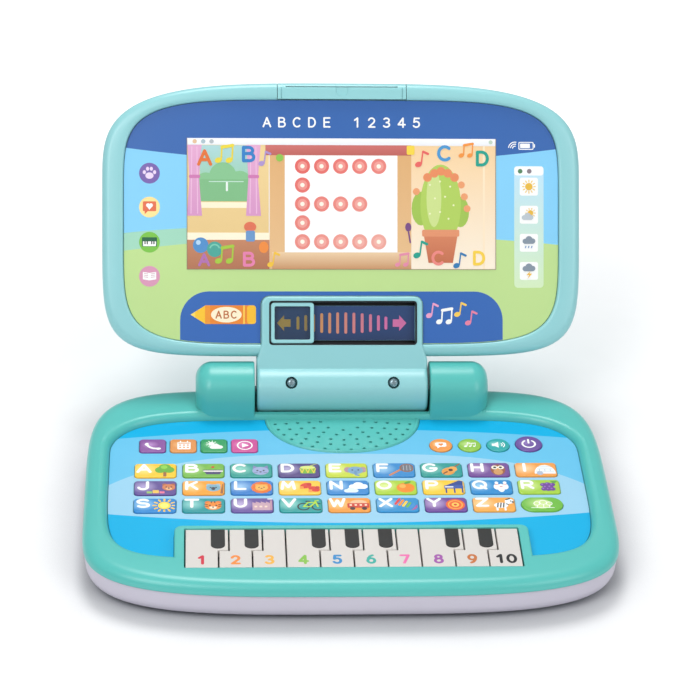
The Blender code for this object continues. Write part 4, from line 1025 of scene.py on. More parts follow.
def build_film():
    film = plate("keypad_film", film_points(-GAP), FILM_LOW, FILM_Z)
    bm = bmesh.new()
    for node in BUTTONS:
        centre, size, corner = button_outline(node)
        outline = grown_rectangle(centre.x, centre.y, *size, corner)(GAP)
        face = bm.faces.new([bm.verts.new((x, y, 0)) for x, y in outline])
        grown = bmesh.ops.extrude_face_region(bm, geom=[face])["geom"]
        top = [item for item in grown if isinstance(item, bmesh.types.BMVert)]
        bmesh.ops.translate(bm, verts=top, vec=(0, 0, 0.03))
    bmesh.ops.recalc_face_normals(bm, faces=bm.faces)
    combine(film, "DIFFERENCE", new_object("film_holes", bm))
    notch = plate("film_notch", piano_frame(GAP), 0, AWAY)
    combine(film, "DIFFERENCE", notch, plate("film_grille", grille_outline(GAP), 0, AWAY))
    finish(film, FILM_PRINT, "base", "printed_film", "keypad_overlay")


def art_tree(art):
    art.rect(5.4, -3.2, 1.6, 4.5, (150, 96, 50))
    for x, y, r in ((3.2, 0.2, 2.6), (7.4, 0.3, 2.6), (5.4, 2.2, 3.0)):
        art.disc(x, y, r, (96, 170, 50))
    art.disc(5.0, 2.6, 1.6, (140, 200, 70))


def art_boat(art):
    art.shape([(0.5, 0.2), (10.6, 0.2), (8.8, -3.6), (2.4, -3.6)], (70, 60, 110))
    art.rect(5.6, -0.9, 9.4, 1.0, (245, 240, 235))
    art.shape([(1.4, 0.6), (9.6, 0.6), (7.6, 4.2), (3.4, 4.2)], (120, 180, 60))
    art.disc(5.4, 2.5, 0.8, (200, 50, 40))


def art_cat(art):
    art.face(5.4, -0.8, 4.0, (152, 166, 205), (128, 120, 178), "pointed")
    for side in (-1, 1):
        art.line([(5.4 + side * 1.6, -2.2), (5.4 + side * 3.4, -2.6)], 0.3, (95, 90, 140))


def art_drum(art):
    art.rect(5.2, -0.6, 7.4, 5.0, (120, 178, 56), 0.8)
    art.disc(5.2, 2.0, 3.7, (214, 226, 130), 1.4)
    for x in (2.4, 5.2, 8.0):
        art.line([(x - 1.0, 1.0), (x, -2.6), (x + 1.0, 1.0)], 0.5, (232, 200, 70))
    art.line([(6.4, 3.2), (9.8, 5.6)], 0.7, (190, 210, 90))


def art_elephant(art):
    art.face(5.2, -0.6, 3.8, (120, 160, 196), (176, 140, 150), "wide")
    art.line([(5.2, -1.6), (5.2, -4.2), (6.4, -5.0)], 1.3, (104, 146, 186))


def art_net(art):
    art.line([(-1.2, -4.6), (4.6, 0.4)], 1.2, (206, 130, 80))
    art.disc(7.2, 1.4, 3.4, (108, 110, 120), 2.8, 25)
    art.arc(7.2, 1.4, 3.2, 0.7, (150, 96, 66))
    for x in (5.6, 7.2, 8.8):
        art.line([(x, -0.6), (x, 3.4)], 0.25, (190, 190, 196))


def art_guitar(art):
    art.line([(6.4, 1.0), (10.4, 5.2)], 1.1, (150, 84, 44))
    art.disc(4.2, -1.6, 3.5, (226, 150, 62), 3.0, 40)
    art.disc(6.3, 0.2, 2.4, (234, 164, 76), 2.2, 40)
    art.disc(5.4, -0.5, 1.1, (84, 46, 30))
    art.line([(1.9, -3.4), (3.6, -2.0)], 0.8, (110, 60, 34))


def art_owl(art):
    art.disc(5.4, -0.4, 3.6, (150, 82, 52), 4.6)
    art.disc(5.4, -2.2, 2.3, (206, 150, 96), 2.4)
    for side in (-1, 1):
        art.disc(5.4 + side * 1.5, 1.6, 1.6, (246, 238, 226))
        art.disc(5.4 + side * 1.4, 1.6, 0.8, BLACK_INK, sides=12)
    art.shape([(4.9, 0.8), (5.9, 0.8), (5.4, -0.4)], (240, 160, 40))


def art_igloo(art):
    art.shape(bow(5.2, -3.8, 5.2, 7.4, 0, 180, 18), (240, 244, 248))
    for y in (-1.8, 0.2, 2.0):
        art.line([(0.9 + 0.32 * (y + 1.8), y), (9.5 - 0.32 * (y + 1.8), y)], 0.25, (168, 180, 196))
    for x in (2.6, 5.2, 7.8):
        art.line([(x, -1.8), (x, 0.2)], 0.25, (168, 180, 196))
    art.disc(2.6, -3.4, 1.6, (176, 186, 206))


def art_bear(art):
    art.rect(1.2, -3.4, 3.0, 2.6, (240, 190, 80), 0.3)
    art.rect(-1.8, -4.0, 2.6, 1.6, (150, 196, 90), 0.3)
    art.rect(4.2, -4.0, 2.4, 1.6, (236, 120, 150), 0.3)
    art.face(7.4, 0.2, 3.2, (206, 120, 74), (176, 92, 54))
    art.disc(7.4, -1.0, 1.5, (236, 182, 136), 1.0)
    art.disc(7.4, -0.6, 0.5, BLACK_INK, sides=10)


def art_koala(art):
    art.line([(9.6, -4.6), (10.6, 2.6)], 1.4, (150, 96, 54))
    art.face(5.6, -0.4, 3.5, (126, 170, 190), (150, 190, 206))
    art.disc(5.6, -1.0, 1.0, (60, 60, 74), 1.3)


def art_lion(art):
    for k in range(12):
        turn = 2 * math.pi * k / 12
        art.disc(5.6 + 3.2 * math.cos(turn), -0.2 + 3.0 * math.sin(turn), 1.9, (226, 112, 36), sides=12)
    art.face(5.6, -0.4, 3.1, (244, 178, 84), (240, 150, 60))


def art_mittens(art):
    for x, y, turn in ((3.8, 1.2, 30), (7.8, -1.6, -25)):
        art.disc(x, y, 3.0, (214, 58, 44), 2.2, turn)
        art.disc(x + 1.6, y + 1.2, 1.2, (196, 44, 40))
        art.rect(x - 2.0, y - 1.6, 1.8, 2.2, (240, 150, 60), 0.3)


def art_clouds(art):
    art.cloud(6.0, 0.6, 8.4, (248, 250, 253))
    art.cloud(2.4, -3.0, 6.4, (222, 236, 248))


def art_orange(art):
    art.disc(5.6, -0.8, 4.4, (238, 134, 30), 4.0)
    art.disc(4.2, 0.6, 1.6, (250, 178, 84))
    art.disc(6.8, 3.6, 1.9, (84, 158, 52), 0.9, 30)


def art_piano(art):
    art.shape([(2.0, 1.0), (8.6, 5.4), (10.8, 4.6), (10.2, 1.0)], (30, 62, 140))
    art.shape([(1.2, -1.6), (10.4, -1.6), (10.4, 1.0), (1.2, 1.0)], (44, 84, 168))
    art.rect(3.6, -0.2, 4.0, 0.9, (244, 244, 246))
    for x in (2.0, 6.0, 9.8):
        art.line([(x, -1.6), (x, -5.0)], 0.8, (30, 62, 140))


def art_pins(art):
    for x, y in ((3.6, 0.8), (7.6, 0.9), (5.6, -1.2)):
        art.disc(x, y - 1.0, 1.6, (246, 246, 248), 2.4)
        art.disc(x, y + 2.2, 0.9, (246, 246, 248), 1.2)
        art.rect(x, y + 1.0, 1.4, 0.5, (214, 60, 50))


def art_grapes(art):
    art.shape([(8.4, 2.0), (11.0, 4.8), (6.4, 4.6)], (98, 164, 60))
    upper = (3.0, 1.4), (5.2, 1.9), (7.4, 1.4), (4.1, -0.5)
    lower = (6.3, -0.4), (5.2, -2.4), (3.2, -2.2), (7.2, -2.2)
    for x, y in upper + lower:
        art.disc(x, y, 1.5, (112, 62, 150), sides=14)
        art.disc(x - 0.4, y + 0.4, 0.5, (160, 116, 196), sides=8)


def art_sun(art):
    art.sun(5.4, -0.3, 3.0, (252, 216, 60), (250, 200, 50), 12)
    art.disc(5.4, -0.3, 2.0, (254, 232, 116))


def art_tiger(art):
    art.face(5.4, -0.6, 4.0, (240, 138, 50), (228, 120, 40))
    for side in (-1, 1):
        for y in (-1.2, 0.2):
            art.line([(5.4 + side * 2.6, y), (5.4 + side * 3.9, y + 0.3)], 0.5, (66, 44, 34))
        art.line([(5.4 + side * 0.9, 1.8), (5.4 + side * 0.6, 2.7)], 0.5, (66, 44, 34))
    art.disc(5.4, -2.2, 1.8, (250, 226, 200), 1.1)
    art.disc(5.4, -1.8, 0.5, (60, 34, 34), sides=10)


def art_factory(art):
    roof = [(9.4, 1.4), (7.4, 2.8), (7.4, 1.4), (5.0, 2.8), (5.0, 1.4), (2.6, 2.8), (2.6, 1.4), (1.0, 2.2)]
    art.shape([(1.0, -4.4), (9.4, -4.4), *roof], (196, 160, 176))
    art.rect(10.0, -0.4, 1.4, 8.0, (184, 140, 160))
    for x in (2.6, 5.0, 7.4):
        art.rect(x, -1.4, 1.3, 1.3, (240, 214, 196))
    art.cloud(9.4, 5.0, 2.4, (230, 224, 236))


def art_bicycle(art):
    for x in (2.2, 9.0):
        art.arc(x, -1.6, 2.7, 0.8, (34, 40, 44))
    art.line([(2.2, -1.6), (4.4, 1.8), (8.0, 1.8), (5.4, -1.6), (2.2, -1.6)], 0.8, (176, 214, 50))
    art.line([(9.0, -1.6), (7.8, 3.0), (9.2, 3.4)], 0.8, (176, 214, 50))
    art.line([(3.6, 2.8), (5.2, 2.8)], 0.9, (34, 40, 44))


def art_wagon(art):
    art.disc(5.4, 1.6, 4.0, (236, 190, 150), 2.2)
    art.rect(5.2, -0.8, 10.4, 3.8, (204, 62, 44), 0.5)
    for x in (1.6, 4.0, 6.4, 8.8):
        art.rect(x, -0.4, 1.1, 1.2, (250, 226, 200))
    for x in (2.4, 8.0):
        art.disc(x, -3.2, 1.3, (70, 44, 44))


def art_xylophone(art):
    colours = ((226, 60, 60), (240, 140, 40), (246, 206, 60), (110, 184, 70), (60, 140, 206), (150, 90, 170))
    for k, colour in enumerate(colours):
        x, y = 1.0 + 1.7 * k, 2.4 - 0.95 * k
        reach = 2.6 - 0.2 * k
        art.line([(x - 0.40 * reach, y - reach * 0.8), (x + 0.40 * reach, y + reach * 0.8)], 1.3, colour)
    art.line([(7.6, -4.4), (11.0, -2.2)], 0.5, (196, 80, 120))


def art_yoyo(art):
    art.disc(5.4, -0.4, 4.6, (232, 96, 40))
    art.arc(5.4, -0.4, 3.3, 0.6, (250, 178, 80))
    art.disc(5.4, -0.4, 1.8, (250, 200, 90))
    art.disc(5.4, -0.4, 0.8, (206, 60, 40))


def art_zebra(art):
    art.disc(4.2, -1.0, 3.4, (246, 246, 246), 2.2)
    art.disc(8.4, 2.2, 2.2, (246, 246, 246), 2.0)
    art.line([(6.2, -0.6), (8.0, 1.8)], 2.0, (246, 246, 246))
    for x in (2.2, 6.0):
        art.line([(x, -2.2), (x, -5.0)], 1.0, (246, 246, 246))
    for x in (2.4, 3.8, 5.2):
        art.line([(x, -2.6), (x + 0.5, 0.8)], 0.6, BLACK_INK)
    art.line([(6.8, 0.2), (7.8, -0.6)], 0.6, BLACK_INK)
    art.line([(7.0, 3.6), (8.6, 4.4)], 0.8, BLACK_INK)
    art.disc(9.0, 2.4, 0.4, BLACK_INK, sides=8)
    art.disc(10.2, 1.6, 0.8, (80, 74, 78), sides=10)


def art_orchard(art):
    art.disc(0, 0, 5.0, (206, 230, 150), 4.4)
    for x, y, r in ((-3.0, 0.6, 1.7), (0.6, 1.6, 2.0), (4.0, 0.4, 1.6)):
        art.arc(x, y, r, 0.45, WHITE_INK, 0, 360, 16)
        art.line([(x, y - r), (x, -3.6)], 0.45, WHITE_INK)
    art.line([(-6.4, -3.6), (6.4, -3.6)], 0.45, WHITE_INK)


def art_phone(art):
    art.arc(2.0, 2.4, 5.4, 1.5, WHITE_INK, 195, 285)
    art.disc(-3.4, 1.4, 1.4, WHITE_INK, 1.1, 70)
    art.disc(3.4, -3.2, 1.4, WHITE_INK, 1.1, 15)


def art_calendar(art):
    art.rect(0.4, -0.2, 7.6, 7.4, WHITE_INK, 0.6)
    art.rect(0.4, 2.4, 6.6, 0.9, (222, 142, 72))
    for x in (-1.8, 0.4, 2.6):
        for y in (0.4, -2.0):
            art.rect(x, y, 1.2, 1.2, (222, 142, 72))
    for x in (-1.6, 2.4):
        art.line([(x, 3.0), (x, 4.4)], 0.7, WHITE_INK)


def art_weather(art):
    art.sun(-1.4, 1.6, 1.8, WHITE_INK, WHITE_INK, 9)
    art.cloud(1.4, -1.6, 7.0, WHITE_INK)


def art_play(art):
    art.arc(0.2, 0, 4.2, 0.8, WHITE_INK)
    art.shape([(-1.4, -2.2), (-1.4, 2.2), (2.6, 0)], WHITE_INK)


def art_message(art):
    art.rect(0, 0.3, 6.4, 4.4, WHITE_INK, 1.2)
    art.shape([(-2.2, -1.4), (0.2, -1.4), (-2.2, -3.6)], WHITE_INK)
    for side in (-1, 1):
        art.disc(side * 0.62, 0.7, 0.9, (236, 140, 60), sides=12)
    art.shape([(-1.35, 0.4), (1.35, 0.4), (0, -1.2)], (236, 140, 60))


def art_music(art):
    art.note(-1.4, 0.2, 4.6, WHITE_INK)
    art.notes(2.0, 0, 4.0, WHITE_INK)


def art_volume(art):
    art.shape([(-3.6, -1.2), (-2.0, -1.2), (0.2, -3.0), (0.2, 3.0), (-2.0, 1.2), (-3.6, 1.2)], WHITE_INK)
    for radius in (1.8, 3.2):
        art.arc(0.6, 0, radius, 0.6, WHITE_INK, -45, 45, 8)


def art_power(art):
    art.arc(0, -0.2, 3.7, 1.1, WHITE_INK, 125, 415)
    art.line([(0, 0.6), (0, 4.2)], 1.1, WHITE_INK)


# Each entry: the pad's colour at its edges, the colour of its painted highlight, and its artwork.
LETTER_ART = {
    "a": ((250, 196, 40), (255, 232, 150), art_tree),
    "b": ((112, 176, 66), (196, 226, 150), art_boat),
    "c": ((30, 150, 140), (160, 222, 206), art_cat),
    "d": ((76, 58, 124), (190, 180, 220), art_drum),
    "e": ((196, 212, 60), (236, 240, 170), art_elephant),
    "f": ((42, 134, 200), (170, 214, 240), art_net),
    "g": ((24, 148, 142), (160, 222, 210), art_guitar),
    "h": ((112, 66, 146), (208, 184, 224), art_owl),
    "i": ((238, 156, 70), (252, 220, 176), art_igloo),
    "j": ((92, 66, 142), (190, 176, 220), art_bear),
    "k": ((244, 158, 44), (254, 220, 150), art_koala),
    "l": ((36, 120, 196), (170, 210, 240), art_lion),
    "m": ((250, 196, 60), (255, 236, 170), art_mittens),
    "n": ((36, 130, 200), (170, 214, 242), art_clouds),
    "o": ((168, 204, 50), (226, 238, 160), art_orange),
    "p": ((250, 200, 50), (255, 236, 160), art_piano),
    "q": ((30, 134, 200), (166, 214, 242), art_pins),
    "r": ((164, 204, 60), (226, 238, 170), art_grapes),
    "s": ((24, 128, 200), (166, 212, 242), art_sun),
    "t": ((20, 146, 150), (160, 220, 214), art_tiger),
    "u": ((100, 76, 152), (200, 186, 224), art_factory),
    "v": ((20, 152, 150), (160, 224, 214), art_bicycle),
    "w": ((240, 150, 50), (254, 220, 150), art_wagon),
    "x": ((28, 140, 200), (166, 214, 242), art_xylophone),
    "y": ((104, 62, 148), (204, 182, 224), art_yoyo),
    "z": ((244, 166, 70), (254, 222, 170), art_zebra),
}
OTHER_ART = {
    "button_tree": ((112, 184, 62), (196, 226, 140), art_orchard),
    "button_phone": ((134, 72, 152), (196, 150, 208), art_phone),
    "button_calendar": ((222, 142, 72), (244, 196, 146), art_calendar),
    "button_weather": ((40, 150, 86), (140, 206, 150), art_weather),
    "button_play": ((200, 70, 146), (236, 150, 200), art_play),
    "button_message": ((238, 150, 64), (252, 206, 150), art_message),
    "button_music": ((142, 192, 64), (208, 230, 150), art_music),
    "button_volume": ((36, 164, 164), (150, 218, 212), art_volume),
    "button_power": ((104, 68, 150), (150, 118, 190), art_power),
}


PAD_MARGIN = PAD_EDGE / MM + 0.05
ART_X, ART_SIZE, ART_LEVELS = 6.0, 1.18, 20


def build_button(node):
    centre, size, corner = button_outline(node)
    corner_steps = 12 if node in ROUND_BUTTONS else 6

    def outline(grow):
        wide, deep = size[0] + 2 * grow, size[1] + 2 * grow
        return rounded_rectangle(0, 0, wide, deep, max(corner + grow, 0.0002), corner_steps)

    pad = rounded_prism(node + "_pad", outline, -PAD_THICK, 0.0, PAD_EDGE, 4)
    letter = node[-1] if node[-2] == "_" else None
    # The second colour is the pad's painted highlight.
    edge_colour, painted_light, draw = LETTER_ART[letter] if letter else OTHER_ART[node]
    wide, deep = size[0] / MM, size[1] / MM
    shade(pad, pad_material(node, edge_colour, painted_light, 0.27 * wide if letter else 0.10 * wide, 0.34 * wide), 50)
    art = Artwork(0.0, (wide / 2 - PAD_MARGIN, deep / 2 - PAD_MARGIN))
    if letter:
        art.at(ART_X * (1 - ART_SIZE), 0.1, ART_SIZE)
        draw(art)
        art.at(0, 0, level=ART_LEVELS)
        art.text(letter.upper(), -6.6, 1.8, 6.9, 6.9, 1.8, WHITE_INK)
    else:
        draw(art)
    art.attach(pad)
    pad.location = (centre.x, centre.y, PAD_TOP)
    place(pad, node, "printed_button", node)


# ---------------------------------------------------------------- piano
NUMBER_INK = (
    (206, 44, 66), (238, 140, 62), (240, 178, 72), (136, 190, 76), (52, 138, 198),
    (58, 172, 160), (232, 112, 172), (160, 84, 166), (196, 112, 56), (24, 22, 24),
)


def key_outline(number):
    left = (number - 1 - KEY_COUNT / 2) * KEY_PITCH + KEY_GAP
    right = (number - KEY_COUNT / 2) * KEY_PITCH - KEY_GAP
    shift_left = 0.0 if number - 1 in STRAIGHT_AFTER else KEY_SHIFT
    shift_right = 0.0 if number in STRAIGHT_AFTER else KEY_SHIFT
    rear = KEY_REAR
    outline = [(left, KEY_FRONT), (right, KEY_FRONT)]
    if shift_right:
        step = rear - KEY_STEP + KEY_STEP_GAP
        outline += [(right, step), (right + shift_right, step)]
    outline += [(right + shift_right, rear), (left + shift_left, rear)]
    if shift_left:
        step = rear - KEY_STEP - KEY_STEP_GAP
        outline += [(left + shift_left, step), (left, step)]
    return outline, left, right + shift_right


def build_key_bed():
    """The rubber contact sheet under the piano keys, black so that the gaps between the keys read dark: a
    real part with painted shade in its colour.
    """
    reach = KEY_PITCH * KEY_COUNT / 2
    deep = OPENING_REAR - OPENING_FRONT - 2 * GAP
    sheet = rounded_prism(
        "key_sheet_painted_gap_shade", grown_rectangle(0, OPENING_MIDDLE, 2 * reach, deep, BED_CORNER),
        BED_LOW, BED_HIGH, BED_EDGE, 3,
    )
    for k in range(KEY_COUNT):
        x, y = (k + 0.5) * KEY_PITCH - reach, KEY_FRONT + DOME_FORWARD
        outline = grown_circle(x, y, DOME_RADIUS, 24)
        dome = rounded_prism("dome", outline, BED_LOW, BED_HIGH + DOME_RISE, BED_EDGE, 3)
        combine(sheet, "UNION", dome)
    finish(sheet, BLACK, "base", "speaker_frame")


def build_key(number):
    node = f"piano_key_{number:02d}"
    outline, left, right = key_outline(number)
    key = plate(f"white_key_{number:02d}", outline, KEY_TOP - KEY_THICK, KEY_TOP, 0.0005)
    shade(key, KEY_WHITE, 40)
    art = Artwork(KEY_TOP)
    middle = left + (KEY_PITCH / 2 - KEY_GAP)
    art.at(middle / MM, (KEY_FRONT + 0.0068) / MM)
    art.text(str(number), 0, 0.2, 4.6, 6.8, 1.65, NUMBER_INK[number - 1], 1.36)
    art.attach(key)
    place(key, node, "piano_key", node)
    if number not in STRAIGHT_AFTER:
        add_black_note(node, right - BLACK_OFF - BLACK_WIDTH / 2, number)


def add_black_note(node, x, number):
    rear = KEY_REAR - KEY_GAP

    def outline(grow):
        half, front = BLACK_WIDTH / 2 + grow, rear - BLACK_LENGTH - grow
        turns = [math.pi * k / 14 for k in range(15)]
        nose = [(x - half * math.cos(t), front + BLACK_BOW * (1 - math.sin(t))) for t in turns]
        return nose + [(x + half, rear + grow), (x - half, rear + grow)]

    low, high = KEY_TOP - BLACK_SINK, KEY_TOP + BLACK_RISE
    note = rounded_prism(f"black_note_{number:02d}", outline, low, high, 0.0003, 3)
    finish(note, BLACK, node, "piano_key")


# ---------------------------------------------------------------- lid casings
def bezel_side(grow=0.0):
    """The right side of the neck's head, from its foot round the upper corner."""
    corner = NECK_CORNER + grow
    found = [(BEZEL_HALF + grow, NECK_FLARE_HIGH)]
    for k in range(9):
        turn = math.pi / 16 * k
        across = BEZEL_HALF + grow - corner * (1 - math.cos(turn))
        found.append((across, NECK_TOP + grow - corner * (1 - math.sin(turn))))
    return found


def neck_outline():
    right = [(BARREL_HALF, 0.0), (BARREL_HALF, NECK_FLARE_LOW), *bezel_side()]
    return right + [(-x, y) for x, y in reversed(right)]


def lid_front_rings():
    rings = [lid_ring(LID, 0, GAP / 2)]
    rings += [lid_ring(LID, -inset, LID_RIM - drop) for inset, drop in rounded_edge(LID_ACROSS, LID_DOWN)]
    return rings


def lid_back_rings():
    return [lid_ring(LID, -inset, LID_BACK + drop) for inset, drop in rounded_edge(LID_BACK_ROUND, steps=10)]


def handle_box(name, grow):
    reach = HANDLE_HALF - GAP / 2 + grow
    return box(name, (-reach, HANDLE_LOW + GAP / 2 - grow, -AWAY), (reach, HANDLE_LOW + AWAY, AWAY))


def build_lid_front():
    rings = lid_front_rings()
    outer, inner = rings[-1], lid_ring(PANEL, GAP + PANEL_EDGE, LID_RIM)
    rings += [between(outer, inner, share, RIM_CROWN) for share in (0.35, 0.70)]
    for k in range(6):
        turn = math.pi / 2 * k / 5
        grow = GAP + PANEL_EDGE * (1 - math.sin(turn))
        rings.append(lid_ring(PANEL, grow, LID_RIM - PANEL_EDGE * (1 - math.cos(turn))))
    rings += [
        lid_ring(PANEL, GAP, LEDGE),
        lid_ring(PANEL, -LEDGE_WIDTH, LEDGE),
        lid_ring(PANEL, -LEDGE_WIDTH, GAP / 2),
    ]
    casing = loft("lid_front", rings, closed=True)
    combine(casing, "DIFFERENCE", handle_box("slot", GAP))

    neck = plate("neck", neck_outline(), GAP, NECK_FACE, NECK_EDGE, 0.0010)
    barrel = cylinder("barrel", BARREL_RADIUS, (0, 0, 0), 2 * BARREL_HALF, "X", 96, BARREL_EDGE)
    combine(barrel, "DIFFERENCE", box("rear_half", (-AWAY * 2, -AWAY, -AWAY), (AWAY * 2, AWAY, GAP / 2)))
    combine(casing, "UNION", neck)
    combine(casing, "UNION", barrel)
    left, low, right, high = WINDOW
    combine(casing, "DIFFERENCE", plate("pocket", window_outline(SHADE_LINER), TRACK_Z, AWAY))
    for y in (low, high - SLOT_HEIGHT):
        combine(casing, "DIFFERENCE", box("slot", (left, y, -0.0100), (right, y + SLOT_HEIGHT, AWAY)))
    for side in (-1, 1):
        centre = (side * SCREW_X, SCREW_UP, (RECESS_FLOOR + AWAY) / 2)
        combine(casing, "DIFFERENCE", cylinder("recess", RECESS_RADIUS, centre, AWAY - RECESS_FLOOR))
    finish(casing, LID_TEAL, "lid", "teal_lid", "lid_front_casing", where=LID_PLACE)


def build_lid_back():
    rings = [
        lid_ring(LID, -LID_BACK_ROUND - WALL, LID_BACK + WALL),
        lid_ring(LID, -2 * WALL, LID_BACK + LID_BACK_ROUND - WALL),
        lid_ring(LID, -WALL, -GAP / 2),
        lid_ring(LID, 0, -GAP / 2),
    ]
    casing = loft("lid_back", rings + lid_back_rings())
    combine(casing, "DIFFERENCE", handle_box("slot", GAP))
    root = box("root", (-BARREL_HALF, 0, -BARREL_RADIUS), (BARREL_HALF, NECK_ROOT_HIGH, -GAP / 2))
    barrel = cylinder("barrel", BARREL_RADIUS, (0, 0, 0), 2 * BARREL_HALF, "X", 96, BARREL_EDGE)
    combine(barrel, "DIFFERENCE", box("front_half", (-AWAY * 2, -AWAY, -GAP / 2), (AWAY * 2, AWAY, AWAY)))
    combine(casing, "UNION", root)
    combine(casing, "UNION", barrel)
    for side in (-1, 1):
        for up in LID_WELLS_UP:
            centre = (side * LID_WELLS_X, up, LID_BACK)
            well = cylinder("well", LID_WELL_RADIUS, centre, 2 * LID_WELL_DEPTH, sides=40)
            combine(casing, "DIFFERENCE", well)
    finish(casing, LID_TEAL, "lid", "teal_lid", "lid_rear_casing", where=LID_PLACE)


def build_handle():
    form = loft("lid_form", lid_front_rings()[::-1] + lid_back_rings())
    grip = handle_box("handle_grip", 0)
    combine(grip, "INTERSECT", form)
    groove_low, groove_high = LID_RIM - GROOVE, LID_RIM + GROOVE
    for side in (-1, 1):
        x = side * (HANDLE_HALF - SEAM_INSET)
        seam = box("seam", (x - SEAM_HALF, HANDLE_LOW, groove_low), (x + SEAM_HALF, SEAM_HIGH, groove_high))
        combine(grip, "DIFFERENCE", seam)
    slit = box("slit", (-SLIT_HALF, SLIT_LOW, SLIT_BACK), (SLIT_HALF, SLIT_HIGH, SLIT_FRONT))
    combine(grip, "DIFFERENCE", slit)
    thumb = plate("thumb_notch", circle(0, THUMB_UP, THUMB_RADIUS, 32), groove_low, groove_high)
    combine(grip, "DIFFERENCE", thumb)
    finish(grip, LID_TEAL, "carry_handle", "teal_lid", "carry_handle", where=LID_PLACE)
    for side, word in ((-1, "left"), (1, "right")):
        outline = grown_rectangle(side * LEG_X, LEG_UP, LEG_WIDTH, LEG_LENGTH, LEG_CORNER)
        leg = rounded_prism(f"handle_leg_{word}", outline, LEG_BACK, LEG_FRONT, SOFT_EDGE)
        finish(leg, LID_TEAL, "carry_handle", "teal_lid", where=LID_PLACE)


def cross_screw(name, x, y, low, high, head_height, head_radius):
    """A pan head with a ring round its cross recess, on a plain shank."""
    steps = (  # share of the head's radius, how far below the head's top
        (1.00, 0.0007), (0.93, 0.0003), (0.80, 0.0001), (0.72, 0.0003), (0.60, 0.0001), (0.30, 0.0),
    )
    shank, seat = 0.5 * head_radius, high - head_height
    profile = [(shank, low), (shank, seat), (head_radius, seat)]
    profile += [(share * head_radius, high - drop) for share, drop in steps]
    screw = loft(name, [[(u, v, z) for u, v in circle(x, y, radius, 40)] for radius, z in profile])
    arm, half = 0.52 * head_radius, 0.11 * head_radius
    for wide, deep in ((arm, half), (half, arm)):
        cross = box("cross", (x - wide, y - deep, high - ROOT), (x + wide, y + deep, high + ROOT))
        combine(screw, "DIFFERENCE", cross)
    return screw


def build_hinge_screws():
    for side, word in ((-1, "left"), (1, "right")):
        screw = cross_screw(
            f"pivot_screw_{word}", side * SCREW_X, SCREW_UP,
            RECESS_FLOOR, SCREW_HEAD_Z + SCREW_HEAD_HEIGHT, SCREW_HEAD_HEIGHT, SCREW_HEAD_RADIUS,
        )
        finish(screw, SCREW, "lid", "steel", f"hinge_screw_{word}", where=LID_PLACE)


# ---------------------------------------------------------------- slider
WINDOW_MIDDLE = ((WINDOW[0] + WINDOW[2]) / 2, (WINDOW[1] + WINDOW[3]) / 2)
BAR_PLACES = (-25.8, -21.2, -16.6, -11.8, -7.1, -2.4, 2.4, 7.2, 12.1, 17.0, 21.7, 26.1)
BAR_TALL, BAR_FALL = 12.6, 5.0
OCHRE, PINK = Vector((206, 156, 70)), Vector((212, 112, 166))


def window_outline(grow):
    left, low, right, high = WINDOW
    return grown_rectangle(*WINDOW_MIDDLE, right - left, high - low, WINDOW_CORNER)(grow)


def in_the_lid(obj, material, body="lid", slot="printed_panel"):
    """Finishes a piece that stands for no node of its own."""
    finish(obj, material, body, slot, where=LID_PLACE)


def draw_track(art):
    """The strip behind the slider: a row of bars that fade from ochre to pink, and an arrow at each end."""
    left, low, right, high = WINDOW
    middle_x, middle_y = WINDOW_MIDDLE[0] / MM, WINDOW_MIDDLE[1] / MM
    wide, tall = (right - left) / MM - 0.4, (high - low - 2 * SLOT_HEIGHT) / MM - 0.2
    art.rect(middle_x, middle_y, wide, tall, (36, 70, 122), 0.0, (30, 58, 104))
    for x in BAR_PLACES:
        tall = BAR_TALL - BAR_FALL * (abs(x) / BAR_PLACES[-1]) ** 2
        art.rect(x, middle_y, 1.7, tall, tuple(OCHRE.lerp(PINK, (x + 26) / 52)), 0.8)
    for side, colour in ((-1, tuple(OCHRE)), (1, tuple(PINK))):
        x, root = side * 33.6, side * 34.0
        art.shape([(x + side * 4.6, middle_y), (root, middle_y + 4.6), (root, middle_y - 4.6)], colour)
        art.rect(x - side * 1.4, middle_y, 4.0, 4.4, colour)


def build_track():
    left, low, right, high = WINDOW
    # Painted shade: a dark liner round the window's walls and a dark bed behind its slots stand for the shade
    # inside the lid.
    shade_liner = plate("pocket_shade_liner", window_outline(SHADE_LINER - GAP / 2), SHADE_LINER_LOW, SHADE_LINER_HIGH)
    combine(shade_liner, "DIFFERENCE", plate("hole", window_outline(0), 0, AWAY))
    in_the_lid(shade_liner, DARK)
    in_the_lid(plate("slot_shade_bed", window_outline(SHADE_BED_LAP), SHADE_BED_LOW, SHADE_BED_HIGH), DARK)
    wide, tall = right - left - 2 * TRACK_INSET_X, high - low - 2 * (SLOT_HEIGHT + TRACK_INSET_Y)
    outline = rounded_rectangle(*WINDOW_MIDDLE, wide, tall, TRACK_CORNER)
    sheet = plate("slider_track", outline, TRACK_Z - TRACK_THICK, TRACK_Z)
    shade(sheet, DARK)
    art = Artwork(TRACK_Z)
    draw_track(art)
    art.attach(sheet)
    place(sheet, "lid", "printed_panel", where=LID_PLACE)


